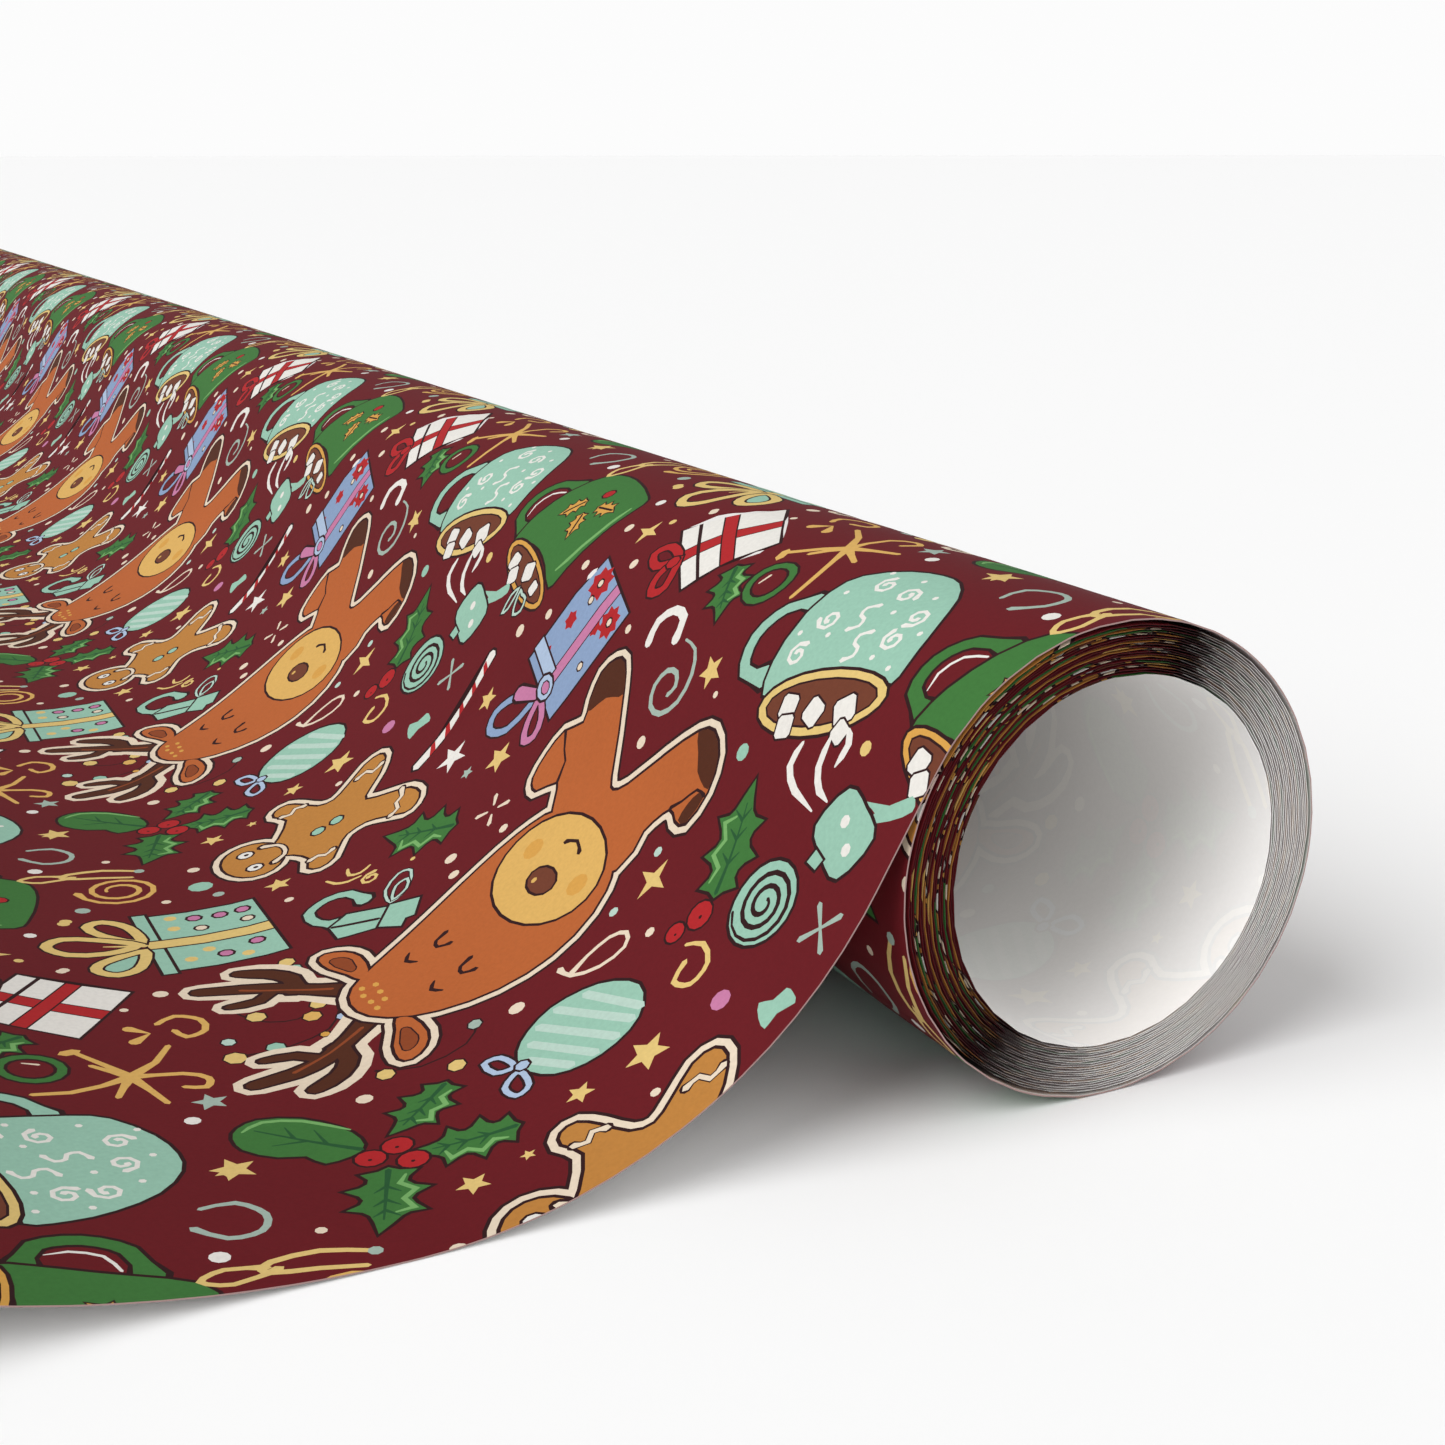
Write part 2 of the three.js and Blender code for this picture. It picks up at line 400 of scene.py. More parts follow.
def mint_mug():
    """Pale green mug with a pattern of curls and dots, and steam."""
    mug(
        body=[(-13, 27.2), (-10, 28), (-4.3, 27.5), (0.6, 26), (-1.3, 22.5), (-3.4, 18.2),
              (-4.6, 14.2), (-4.6, 10.9), (-7.6, 11.2), (-10.8, 12.4), (-14.2, 14.6), (-16.3, 17.6),
              (-16.6, 20.4), (-15.6, 23.8)],
        rim=((-0.9, 18), 8, 0.36, 71),
        ink="mint",
        handle=[(-8.6, 28.3), (-7, 30.8), (-3.6, 31.9), (-0.5, 30.4), (-0.8, 27.2)],
        ring_ink="yellow",
    )
    for centre, size, turn in (((0.5, 21.6), 1.05, 80), ((2.1, 20.9), 1, 70), ((0, 18), 1.1, 15),
                               ((-1.2, 14.2), 1.2, 50), ((0.5, 13.4), 0.9, 20)):
        marshmallow(centre, size, turn)
    for s, v, start in ((-7.6, 24.4, 0), (-3.6, 24.6, 120), (-12.6, 19.6, 200), (-8, 15, 60),
                        (-10.8, 15.4, 300), (-12.9, 23.2, 90)):
        drawn(spiral_line((s, v), 0.35, 1.25, 1.2, start, 8), 0.36, "white", smooth=False)
    for s, v in ((-9, 21.2), (-6.4, 18.6)):
        drawn([(s - 1.6, v - 0.5), (s - 0.9, v + 0.5), (s, v + 0.2), (s + 0.2, v - 0.6), (s + 1, v - 0.9),
               (s + 1.7, v)], 0.36, "white")
    dots("white", 0.3, [(-6.2, 22.8), (-10.6, 26.2), (-14.9, 20.6), (-10.4, 18.4), (-9.4, 13), (-5.6, 12.6),
                        (-5.9, 15.4), (-13.4, 16.6), (-14.6, 25), (-5.4, 26.4)], 6)
    for path in ([(2.5, 17.3), (4.6, 17.5), (6.1, 15.3), (6.8, 11.9)],
                 [(1.2, 14.1), (3.6, 13.8), (5.2, 12.2), (5.6, 10.6)],
                 [(0, 12.4), (1, 11.5), (3, 11.8)]):
        drawn(path, 0.75, "white", ends=(0.3, 0.15))


def green_mug():
    """Green mug with a sprig of golden leaves."""
    mug(
        body=[(-11.9, 69.9), (-6.8, 70.4), (-1.9, 72), (0.7, 73.6), (-1.2, 76.8), (-2.5, 80.4),
              (-2.7, 84.2), (-1.9, 87.2), (-6, 86.6), (-10.2, 85.3), (-14.2, 83.6), (-15.2, 80.6),
              (-14.7, 76.6), (-13.5, 72.4)],
        rim=((0.5, 80.5), 7.2, 0.31, 108),
        ink="green",
        handle=[(-11.3, 85.2), (-10.6, 88.7), (-7.9, 90.4), (-4.8, 89.8), (-3.6, 87)],
        ring_ink="amber",
    )
    drawn([(-9.7, 86), (-8.9, 88.1), (-6.8, 88.9), (-5.2, 88.5)], 0.3, "white", ends=(0.5, 0.2))
    drawn([(-10.8, 70.7), (-6.9, 71.1), (-2.6, 72.9), (-1.2, 74)], 0.55, "leaf_light", ends=(0.3, 0.3))
    for centre, turn in (((-8.3, 80.9), 35), ((-6.5, 77.1), -25), ((-9.6, 74.8), -95)):
        outlined(placed(LEAF, centre, turn, 0.42), "amber", 0.18)
        drawn(placed([(-3.6, 0), (3.2, 0)], centre, turn, 0.42), 0.18, "line", smooth=False)
    dots("red", 0.75, [(-11.6, 78)], outline=0.2)
    for centre, size, turn in (((0.2, 79.9), 1.05, 70), ((-0.1, 84.3), 1, 100), ((1.3, 83.2), 0.95, 60),
                               ((1.5, 77), 0.75, 20)):
        marshmallow(centre, size, turn)
    for loop in ([(2.2, 80.2), (3.2, 81.2), (5.3, 81.3), (4.6, 80.4), (3.4, 80.2)],
                 [(2.3, 79.6), (3.6, 79.4), (4.9, 78.6), (4.2, 77.3), (2.8, 77.6), (2.6, 78.8)]):
        drawn(loop, 0.34, "pale_mint", outline=0.2, closed=True)


# Half length 4, pointing along +x, with the points of a holly leaf
LEAF = np.array([
    (-4.2, 0), (-3.7, 0.7), (-3.4, 1.9), (-2.7, 1.35), (-2.1, 1.4), (-1.6, 1.9), (-1.2, 2.9), (-0.5, 1.9),
    (0.1, 1.6), (0.7, 1.8), (1.4, 2.7), (1.7, 1.6), (2.2, 1.1), (3.1, 0.8), (4.6, 0.5), (3.3, -0.4),
    (2.4, -1), (2, -1.5), (1.9, -2.6), (1, -1.9), (0.3, -1.6), (-0.3, -1.9), (-1, -2.9), (-1.5, -1.8),
    (-2.1, -1.3), (-2.7, -1.4), (-3.5, -2), (-3.7, -0.8),
])


def holly_leaf(centre, turn, size):
    """Leaf with a lighter edge on one side, a midrib and short veins."""
    outlined(placed(LEAF, centre, turn, size), "green")
    edge = [(-3, -1.2), (-1.9, -0.8), (-0.9, -1.9), (0.2, -1.1), (1.5, -1.8), (1.9, -0.6)]
    drawn(placed(edge, centre, turn, size), 0.42, "leaf_light", smooth=False, ends=(0.3, 0.3))
    drawn(placed([(-3.8, 0), (-1, 0.1), (2.8, 0.2)], centre, turn, size), 0.3, "dark_green", ends=(1, 0.3))
    for at in (-1.6, 0.2, 1.6):
        for side in (1, -1):
            vein = placed([(at, 0.1), (at + 0.8, 0.9 * side)], centre, turn, size)
            drawn(vein, 0.22, "dark_green", smooth=False, ends=(1, 0.3))


def berry(centre, radius=1.15):
    outlined(circle(centre, radius, 12), "red", 0.22)
    paint("line", circle((centre[0] + 0.1, centre[1] - 0.2), radius * 0.16, 5))


def holly():
    """Sprigs of holly with berries, a single leaf and a wreath ring."""
    big = [(-5.2, -0.6), (-3.4, -2.9), (-1.6, -2.2), (0.3, -2.9), (3.2, -2.6), (5, -0.4), (4.3, 2.2),
           (1.2, 3.3), (-2.2, 2.6), (-4.4, 1.2)]
    leaf = curve(placed(big, (54.2, 19.8), 38, 1))
    outlined(leaf, "green")
    drawn(placed([(-3, 2.4), (1, 3), (3.9, 2), (4.6, 0)], (54.1, 19.7), 38), 0.4, "leaf_light",
          ends=(0.3, 0.3))
    drawn([(50.4, 16.4), (53.4, 19.2), (56.8, 22.5)], 0.32, "dark_green", ends=(1, 0.3))
    for foot, tip in (((52.4, 18.2), (52.7, 20.9)), ((53.6, 19.4), (56.2, 19.6)),
                      ((54.4, 20.2), (54.6, 22.2))):
        drawn([foot, tip], 0.22, "dark_green", smooth=False, ends=(1, 0.3))
    holly_leaf((44.6, 19.6), -40, 0.88)
    holly_leaf((43.3, 12.6), 14, 0.95)
    holly_leaf((50.8, 8.6), -72, 1.05)
    for centre in ((47.9, 15.5), (50.2, 14.7), (47.5, 12.9)):
        berry(centre)
    holly_leaf((12, 19.6), 158, 1.18)
    berry((18.3, 17.9), 1.3)
    berry((20.6, 19.1), 0.95)
    holly_leaf((28.4, 64.8), 52, 1.12)
    holly_leaf((-6.4, 41.4), -40, 0.82)
    drawn(circle((-8.7, 36.9), 2.4, 16), 0.75, "green", outline=0.28, smooth=False, closed=True)
    drawn([(-9.4, 37.7), (-8.2, 38)], 0.4, "cream", smooth=False, ends=(0.5, 0.3))


def bow_loop(points, ink, width=1, inside=None):
    ring = curve(points)
    if inside:
        paint(inside, ring)
    drawn(points, width, ink, outline=0.24, closed=True)


def blue_gift():
    """Blue present with red flowers, a pink ribbon and a bow."""
    centre, turn = (3.7, 62.3), 21
    outlined(placed(rectangle(-6.7, 6.7, -5.6, 5.6), centre, turn), "blue")
    for at, size, petals in (((-5, 2.8), 2.1, 8), ((4.6, 3.2), 1.2, 6), ((0, 3.2), 1.15, 6),
                             ((-4.2, -3.6), 1.9, 8), ((-2.4, -1.9), 1, 6)):
        flower = curve(star((0, 0), size, petals, 0.72, 10))
        paint("red", placed(flower, placed([at], centre, turn)[0]))
    spots = placed([(-5, 2.8), (-4.2, -3.6), (1, -4.1), (-3.2, 2.2)], centre, turn)
    dots("cream", 0.42, spots, 7, 0.18)
    outlined(placed(rectangle(-6.7, 6.7, -1.65, -0.15), centre, turn), "pink", 0.18)
    outlined(placed(rectangle(4, 5.6, -0.2, 5.9), centre, turn), "pale_blue", 0.24)
    bow_loop([(10.9, 64.6), (12, 68.6), (14.4, 70.8), (16.3, 69.4), (15.2, 66.4), (11.8, 64.8)],
             "blue", 0.9)
    bow_loop([(10.8, 63.6), (13.4, 63.3), (15.1, 61.8), (14.2, 60.5), (12.3, 61.2)], "pink", 0.9)
    drawn([(10.6, 64.6), (11.5, 68.3)], 1, "pink", outline=0.24, smooth=False, ends=(0.7, 1))
    outlined(circle((9.6, 63.7), 1.25, 10, 1.3, turn), "pale_blue")
    outlined(circle((9.6, 63.6), 0.6, 8, 1.4, turn), "pink", 0.16)


def white_gift():
    """White present with crossed red ribbons."""
    centre, turn = (-12.1, 50.2), 32
    outlined(placed(rectangle(-4.9, 5.3, -5.5, 5.5), centre, turn), "white")
    for sides in ((-4.9, 5.3, -0.9, 0.9), (-0.4, 0.9, -5.5, 5.5)):
        outlined(placed(rectangle(*sides), centre, turn), "red", 0.16)
    drawn(placed([(3.4, 5.5), (3.4, -5.5)], centre, turn), 0.24, "line", smooth=False)
    for loop in ([(5.6, 0.2), (6.4, 3.2), (8.4, 3.6), (8.2, 1.2)],
                 [(5.6, -0.2), (7.2, -3.2), (9, -2.4), (8, -0.6)]):
        bow_loop(placed(loop, centre, turn), "red", 0.95)
    dots("red", 0.8, placed([(6.2, 0)], centre, turn), outline=0.2)


def mint_gift():
    """Pale green present with dots, a yellow ribbon and a large bow."""
    outlined(np.array([(45.4, 70), (45.4, 56), (55.4, 56.2), (55.4, 70.6)]), "mint")
    outlined(rectangle(55.6, 56.8, 55.6, 71.2), "mint")
    dots("pink", 0.62, [(46.8, 68.2), (49, 68.2), (51.4, 68.6), (47.4, 59.9), (50.6, 58.5)], outline=0.26)
    dots("cream", 0.55, [(46.9, 65.7), (51.3, 65.8)], outline=0.24)
    dots("yellow", 0.62, [(53.5, 69.4), (53.7, 66.6), (51.8, 60.2), (48.8, 57.5), (53.8, 58.4)])
    outlined(np.array([(45.4, 63.5), (45.4, 61.6), (56.8, 62.2), (56.8, 64)]), "yellow", 0.26)
    bow_loop([(57.2, 64.2), (57.6, 68.4), (59.6, 70.5), (61.2, 69.4), (60.2, 66.8)], "yellow", 1.05)
    bow_loop([(57.4, 61.8), (58.4, 57.9), (60.6, 56.6), (62.2, 58), (61.2, 60)], "yellow", 1.05, "mint")
    bow_loop([(57.6, 63.6), (60.9, 65.8), (63.9, 66.5), (65.6, 64.6), (64, 62.4), (60.6, 62.1)],
             "yellow", 1.05)
    drawn([(57, 63.2), (60.6, 63.9)], 0.4, "yellow", smooth=False, ends=(1, 0.3))


def small_gift():
    """Small pale green present with a hook and a thin bow."""
    drawn([(36.9, 59.4), (37.6, 62.2), (39.7, 63.2), (41.9, 61.8), (41.8, 59.2), (40.6, 57.6)], 1, "mint",
          outline=0.28)
    outlined(np.array([(35.6, 55.4), (39.1, 58.2), (41.2, 57), (41.2, 54.2), (37.9, 52.8)]), "mint")
    outlined(np.array([(32.9, 53.6), (35.4, 55.6), (37.6, 52.7), (36, 50.6), (35.2, 51.6), (34.4, 51.2)]),
             "mint")
    drawn([(37.1, 54.2), (41, 56.9)], 0.26, "line", smooth=False)
    for loop in ([(35.2, 56), (34.8, 58.8), (32.8, 60.4), (31.7, 59.4), (33, 56.9)],
                 [(34.9, 56.3), (33.8, 58.4), (32.5, 58.4), (33.2, 56.8)]):
        drawn(loop, 0.3, "pale_mint", outline=0.14, closed=True)
    drawn([(36.1, 67.4), (36.4, 66), (35.4, 65.2), (34.2, 65.6)], 0.4, "yellow", ends=(0.4, 0.4))
    drawn([(35.6, 64.5), (36.9, 64.8), (38, 65.8), (38.5, 67.2)], 0.4, "yellow", ends=(0.4, 0.4))
    drawn(spiral_line((35, 63), 0.4, 1.1, 1.2, 60, 8), 0.36, "yellow", smooth=False)


def bauble():
    """Striped bauble with a bow on its cap."""
    ring = curve([(25.5, 17.8), (27.6, 21.9), (31.6, 23.6), (35.2, 21.9), (36.5, 18.7), (35, 15.3),
                  (31.4, 13.8), (27.4, 14.5)])
    outlined(ring, "mint")
    for start, end in (((26.6, 15.4), (28.9, 22)), ((27.8, 14.9), (31.4, 22.9)),
                       ((29.6, 14.4), (33.4, 22.3)), ((31.6, 14.4), (34.8, 20.8)),
                       ((33.6, 15), (35.8, 19))):
        drawn([start, end], 0.5, "pale_mint", smooth=False)
    for loop in ([(36.9, 19.3), (37.3, 21.5), (38.6, 21.8), (38.4, 19.8)],
                 [(36.9, 18.3), (37, 15.9), (38.3, 15.4), (38.6, 17.2)]):
        bow_loop(loop, "pale_blue", 0.5)
    dots("pale_blue", 0.6, [(36.4, 18.8)], 7, 0.22)


def gingerbread():
    """Gingerbread figure with icing, lying along the sheet."""
    body = curve([
        (29.9, 79.6), (27.6, 77), (25.9, 74.8), (25.6, 72.4), (26.7, 71), (28, 71.1), (29.6, 73.2),
        (31.4, 75), (33.8, 75.1), (35.3, 73.4), (36.5, 71.6), (38, 71.1), (38.9, 72.2), (38.2, 74.4),
        (39.2, 77), (41.2, 79.6), (39.2, 82.6), (37.3, 86.2), (38.1, 88.6), (37.6, 89.9), (36.3, 90),
        (35.2, 88.2), (34, 85.4), (32.2, 84.4), (30, 85.5), (27.2, 87), (25.4, 86.6), (25.2, 85),
        (26.9, 82.8), (28.9, 81.2),
    ])
    head = circle((42.9, 79.7), 3.1, 20, squeeze=1.42)
    bordered([body, head], "ginger")
    for points in ([(26.4, 76), (27, 74.6), (27.9, 74.2), (28.2, 72.9), (29.3, 72.6)],
                   [(25.8, 84.4), (27.2, 84.3), (27.6, 85.4), (28.9, 85.4)],
                   [(35.8, 73.6), (36.8, 73.2), (37.4, 73.9), (38.4, 73.7)],
                   [(34.9, 87.4), (35.9, 88), (36.6, 87.2), (37.6, 87.7)]):
        drawn(points, 0.42, "cream", outline=0.12)
    dots("mint", 0.72, [(33.5, 79.5), (35.7, 79.5)], outline=0.24)
    for v in (77.7, 81.7):
        dots("white", 0.8, [(43.2, v)], 9, 0.24)
        dots("line", 0.3, [(43.1, v)], 6)
    drawn([(41.2, 82.2), (39.9, 81.2), (39.5, 79.7), (39.9, 78.1), (41.2, 77.2)], 0.42, "cream",
          outline=0.2)


def sweets():
    """Swirled sweet, striped stick and a spotted mallet."""
    outlined(circle((14.7, 11.6), 3.6, 20), "mint")
    drawn(spiral_line((14.7, 11.6), 0.5, 3.4, 2.6, 200, 16), 0.46, "line", smooth=False, ends=(0.5, 0.4))
    centre, turn = (16.7, 78.1), -5
    stick = [(-7.2, 0.75), (-7.6, 0.3), (-7.6, -0.3), (-7.2, -0.75), (7.2, -0.65), (7.6, 0), (7.2, 0.65)]
    outlined(placed(stick, centre, turn), "white")
    for at in np.arange(-5.6, 6.5, 2.5):
        stripe = [(at, 0.72), (at - 0.7, 0.72), (at + 0.1, -0.7), (at + 1.1, -0.7)]
        paint("red", placed(stripe, centre, turn))
    paint("mint", curve([(2.2, 83.2), (3.6, 85.2), (4.2, 88.4), (4.6, 86.4), (5.7, 87.2), (4.6, 84.4),
                         (3.2, 82.4)]))
    mallet = [(-2.3, -3), (2, -3.1), (2.6, 0), (2.1, 3), (-2, 3), (-2.7, 0)]
    outlined(curve(placed(mallet, (7, 88.9), 26)), "mint")
    outlined(placed([(2.6, 0.6), (3.6, 0.8), (3.6, 2.2), (2.4, 2)], (7, 88.7), 8), "mint", 0.24)
    dots("white", 0.55, [(6.2, 89.3), (8, 87.6)])


def curls():
    """Loose curls, hooks and sparkles between the figures."""
    drawn([(-0.7, 42.1), (-0.3, 39.8), (1.8, 38.3), (4.5, 38.4), (6.2, 40.3), (6, 42.5), (4.2, 43.5),
           (2.5, 42.6), (2.3, 40.9), (3.4, 40), (4.4, 40.6)], 0.55, "grey_mint", ends=(0.3, 0.6))
    drawn([(1, 48.3), (-1.1, 48.5), (-2.7, 46.8), (-2.4, 44.6), (-0.4, 43.9)], 1, "white", ends=(0.7, 0.8))
    drawn([(28.9, 27.5), (28.6, 25.6), (26.5, 23.8), (24, 23.3), (23, 24.6), (24.2, 26), (26.6, 26.3),
           (28.4, 25.9)], 0.42, "cream")
    drawn([(20.8, 16.8), (19.9, 15), (20.8, 12.9), (22.9, 12.7), (23.6, 14.6), (21.9, 15.3)], 0.5, "yellow",
          ends=(0.4, 0.8))
    drawn([(63.2, 11.6), (60.7, 11.9), (59.1, 9.7), (59.9, 7.5), (62.3, 7.1), (64.2, 8.9)], 0.55,
          "grey_mint", ends=(0.5, 0.8))
    drawn([(59.6, 44.7), (57.9, 46), (56, 44.6), (56.1, 42.3), (57.8, 41.4), (58.5, 43)], 0.6, "tan",
          ends=(0.6, 0.6))
    for tip in ((62, 44.2), (62, 41.4)):
        drawn([(60.5, 42.9), tip], 0.8, "tan", smooth=False, ends=(0.1, 0.8))
    drawn(spiral_line((56.5, 79.1), 1.2, 4, 2, 0, 14), 0.55, "tan", smooth=False, ends=(0.4, 1))
    drawn([(54, 84.4), (57, 85.6), (60.4, 85.2), (61, 83.9), (57.6, 83.4), (54.6, 82.6)], 0.6, "yellow",
          ends=(0.5, 0.5))
    middle = (63.6, 34.6)
    for path in ([(59.6, 40), (61.2, 37)], [(67.2, 40.2), (65, 37)], [(66.2, 37.2), (64.8, 35.8)],
                 [(71.4, 31.9), (68.5, 32.2), (66, 33.2)], [(65.2, 30.9), (64.5, 32.6)],
                 [(61.8, 29.2), (62.6, 31.8)], [(60, 31.8), (58.4, 31.3), (57.9, 32.9), (59.6, 34.3)]):
        drawn([*path, middle], 0.62, "tan", ends=(0.5, 1))
    drawn([(66.9, 40.2), (67.9, 39.8)], 0.6, "tan", smooth=False)
    drawn([(-18.6, 84.6), (-16, 85), (-14.2, 83.8), (-16.2, 83), (-19.4, 84.2)], 0.5, "yellow")


def cross(centre, size, ink, turn, gap=0):
    """Four strokes from a centre, or from a gap round it."""
    for quarter in (0, 90, 180, 270):
        arm = placed([(gap, 0), (size, 0)], centre, turn + quarter)
        drawn(arm, 0.42, ink, smooth=False, ends=(0.4, 0.8))


def stars_and_dots():
    """Small stars, crosses and dots over the whole repeat."""
    for s, v, radius, turn in ((28.9, 10, 2, 80), (34.6, 11.1, 1.25, 70), (0.8, 35.5, 1.7, 60),
                               (17.9, 64, 1.9, 100), (13.8, 74.1, 1.5, 90), (45, 6.9, 1.35, 75),
                               (42.4, 71.3, 1.45, 95), (59.6, 16.9, 1.8, 80), (40.5, 7.5, 0.65, 90),
                               (60.3, 16.6, 0.9, 50)):
        paint("yellow", star((s, v), radius, 5, 0.46, turn))
    paint("white", star((20.7, 72.5), 2.2, 5, 0.4, 100))
    paint("grey_mint", star((58.7, 28.5), 1.5, 5, 0.46, 85))
    paint("grey_mint", star((21, 67.5), 0.85, 5, 0.5, 90))
    for s, v, radius in ((18.3, 26.8, 2.1), (-8.9, 62.8, 1.8)):
        paint("yellow", star((s, v), radius, 4, 0.34, 90))
    cross((13.8, 3.7), 2.1, "grey_mint", 42)
    cross((22.2, 57.7), 2, "cream", 40, 0.7)
    dots("pink", 0.95, [(22.4, 8.3)], 10)
    paint("mint", curve([(18.7, 2.9), (20, 3.3), (20.8, 4.4), (21.7, 3.2), (22, 1.8), (20.6, 1.9),
                         (19.2, 1), (18.7, 1.9)]))
    for s, v, radius, ink in (
        (49, 76.7, 1.25, "mint"), (5.5, 24.8, 0.8, "mint"), (47.9, 73.6, 0.6, "grey_mint"),
        (60.8, 74.1, 0.75, "grey_mint"), (52.9, 74.1, 0.5, "cream"), (62.8, 71.3, 0.6, "yellow"),
        (48.6, 81.8, 0.65, "cream"), (42.5, 66.8, 0.5, "cream"), (64.9, 58.6, 0.5, "cream"),
        (58, 51.2, 0.7, "cream"), (66.5, 67.8, 0.6, "white"), (9.2, 41, 0.65, "cream"),
        (16.2, 28.8, 0.5, "pale_mint"), (22.4, 28.3, 0.5, "pale_mint"), (21.8, 22, 0.5, "cream"),
        (28.3, 56.2, 0.7, "cream"), (22.9, 53.4, 0.55, "cream"), (29.2, 53.2, 0.6, "cream"),
        (33.6, 26.7, 0.75, "cream"), (47.9, 23.9, 0.7, "cream"), (60.7, 25.6, 0.65, "white"),
        (63.4, 4.7, 0.75, "white"), (6, 75.1, 0.75, "cream"), (3.1, 70.6, 0.6, "cream"),
        (-3, 68.5, 0.6, "cream"), (-8.5, 66.7, 0.6, "cream"), (-5.1, 59.7, 0.6, "cream"),
        (-14.3, 58.3, 0.5, "cream"), (0.8, 53.2, 0.5, "cream"), (-16.4, 70.7, 0.6, "yellow"),
        (0.7, 9.2, 0.65, "yellow"), (30.8, 61.3, 0.3, "yellow"),
        (70.2, 48.6, 0.5, "white"), (68.4, 61.2, 0.45, "yellow"), (56.2, 6.2, 0.45, "cream"),
        (30.6, 5.4, 0.45, "cream"),
        (53.6, 2.2, 0.55, "grey_mint"), (2.4, 33, 0.35, "cream"), (61.6, 48.4, 0.4, "cream"),
    ):
        dots(ink, radius, [(s, v)], 10 if radius > 0.55 else 8)


def draw_print():
    for motif in (lights, deer, mint_mug, green_mug, sweets, blue_gift, white_gift, mint_gift, small_gift,
                  bauble, gingerbread, holly, curls, stars_and_dots):
        motif()


# --- Triangles of one repeat ---------------------------------------------------------------------

def steps(millimetres):
    """Flat places or lengths as whole steps of the grid."""
    return np.round(np.asarray(millimetres, float) / STEP)


PERIOD = steps((REPEAT_ALONG, REPEAT_ACROSS))


EXACT = 0.01            # places closer than this share of a grid step are one place
STRETCH = 3             # makes the triangles of the print long across the sheet, which bends along
MAX_ROUNDS = 20         # of moving crossings to the grid


def triangulate(points, edges, stretch=1):
    """Triangles over the points that keep the edges, and the edges split wherever two of them cross."""
    points = np.asarray(points, float)
    origin = points.min(axis=0)
    flat = [Vector((float(a), float(b))) for a, b in (points - origin) * (stretch, 1)]
    verts, lines, faces, _, sources, _ = delaunay_2d_cdt(flat, edges, [], 0, EXACT, True)
    places = np.array([tuple(v) for v in verts]) / (stretch, 1) + origin
    kept = [line for line, source in zip(lines, sources) if source]
    return places, np.array([f[:3] for f in faces]), np.array(kept)


def inside(places, rings):
    """True where a place lies inside the rings, by how often they wind round it."""
    winding = np.zeros(len(places), int)
    x, y = places[:, 0:1], places[:, 1:2]
    for ring in rings:
        after = np.roll(ring, -1, axis=0)
        side = ((after[:, 0] - ring[:, 0]) * (y - ring[:, 1])
                - (x - ring[:, 0]) * (after[:, 1] - ring[:, 1]))
        upward = (ring[:, 1] <= y) & (after[:, 1] > y) & (side > 0)
        downward = (ring[:, 1] > y) & (after[:, 1] <= y) & (side < 0)
        winding += upward.sum(axis=1) - downward.sum(axis=1)
    return winding != 0


def wrapped_shapes():
    """Every shape on the grid, copied to where a neighbouring repeat's copy reaches into this one."""
    for rings, ink in SHAPES:
        rings = [steps(ring) for ring in rings]
        together = np.concatenate(rings)
        low, high = together.min(axis=0), together.max(axis=0)
        for i in (-1, 0, 1):
            for j in (-1, 0, 1):
                shift = PERIOD * (i, j)
                if np.all(low + shift < PERIOD) and np.all(high + shift > 0):
                    yield [ring + shift for ring in rings], ink


class Drawing:
    """Points and the lines between them, to be cut into triangles."""

    def __init__(self, points=(), edges=()):
        self.points = list(map(tuple, points))
        self.edges = list(map(tuple, edges))

    def line(self, places, closed=False):
        """Adds a line through the places."""
        first = len(self.points)
        self.points.extend(map(tuple, places))
        self.edges.extend((first + k, first + k + 1) for k in range(len(places) - 1))
        if closed:
            self.edges.append((len(self.points) - 1, first))


def painted(places, triangles, shapes):
    """Ink of each triangle: the last shape painted over its middle."""
    middles = places[triangles].mean(axis=1)
    inks = np.full(len(triangles), GROUND)
    for rings, ink in shapes:
        together = np.concatenate(rings)
        low, high = together.min(axis=0), together.max(axis=0)
        near = np.nonzero(np.all((middles > low) & (middles < high), axis=1))[0]
        inks[near[inside(middles[near], rings)]] = ink
    return inks


def drawing_of(places, lines):
    """Drawing of lines between places, with its points moved to the grid."""
    used, renumbered = np.unique(lines, return_inverse=True)
    return Drawing(np.round(places[used]), renumbered.reshape(-1, 2).tolist())


def add_sides(drawing, bends):
    """Adds the four sides of the repeat, with the same places on opposite sides.

    They have a place at each bend and wherever the drawing has one on either side.
    """
    points = np.array(drawing.points)
    for column in (0, 1):
        other = 1 - column
        on_side = np.isin(points[:, column], (0, PERIOD[column]))
        marks = np.union1d(points[on_side, other], bends[other])
        marks = marks[(marks >= 0) & (marks <= PERIOD[other])]
        for side in (0, PERIOD[column]):
            line = np.full((len(marks), 2), float(side))
            line[:, other] = marks
            drawing.line(line)


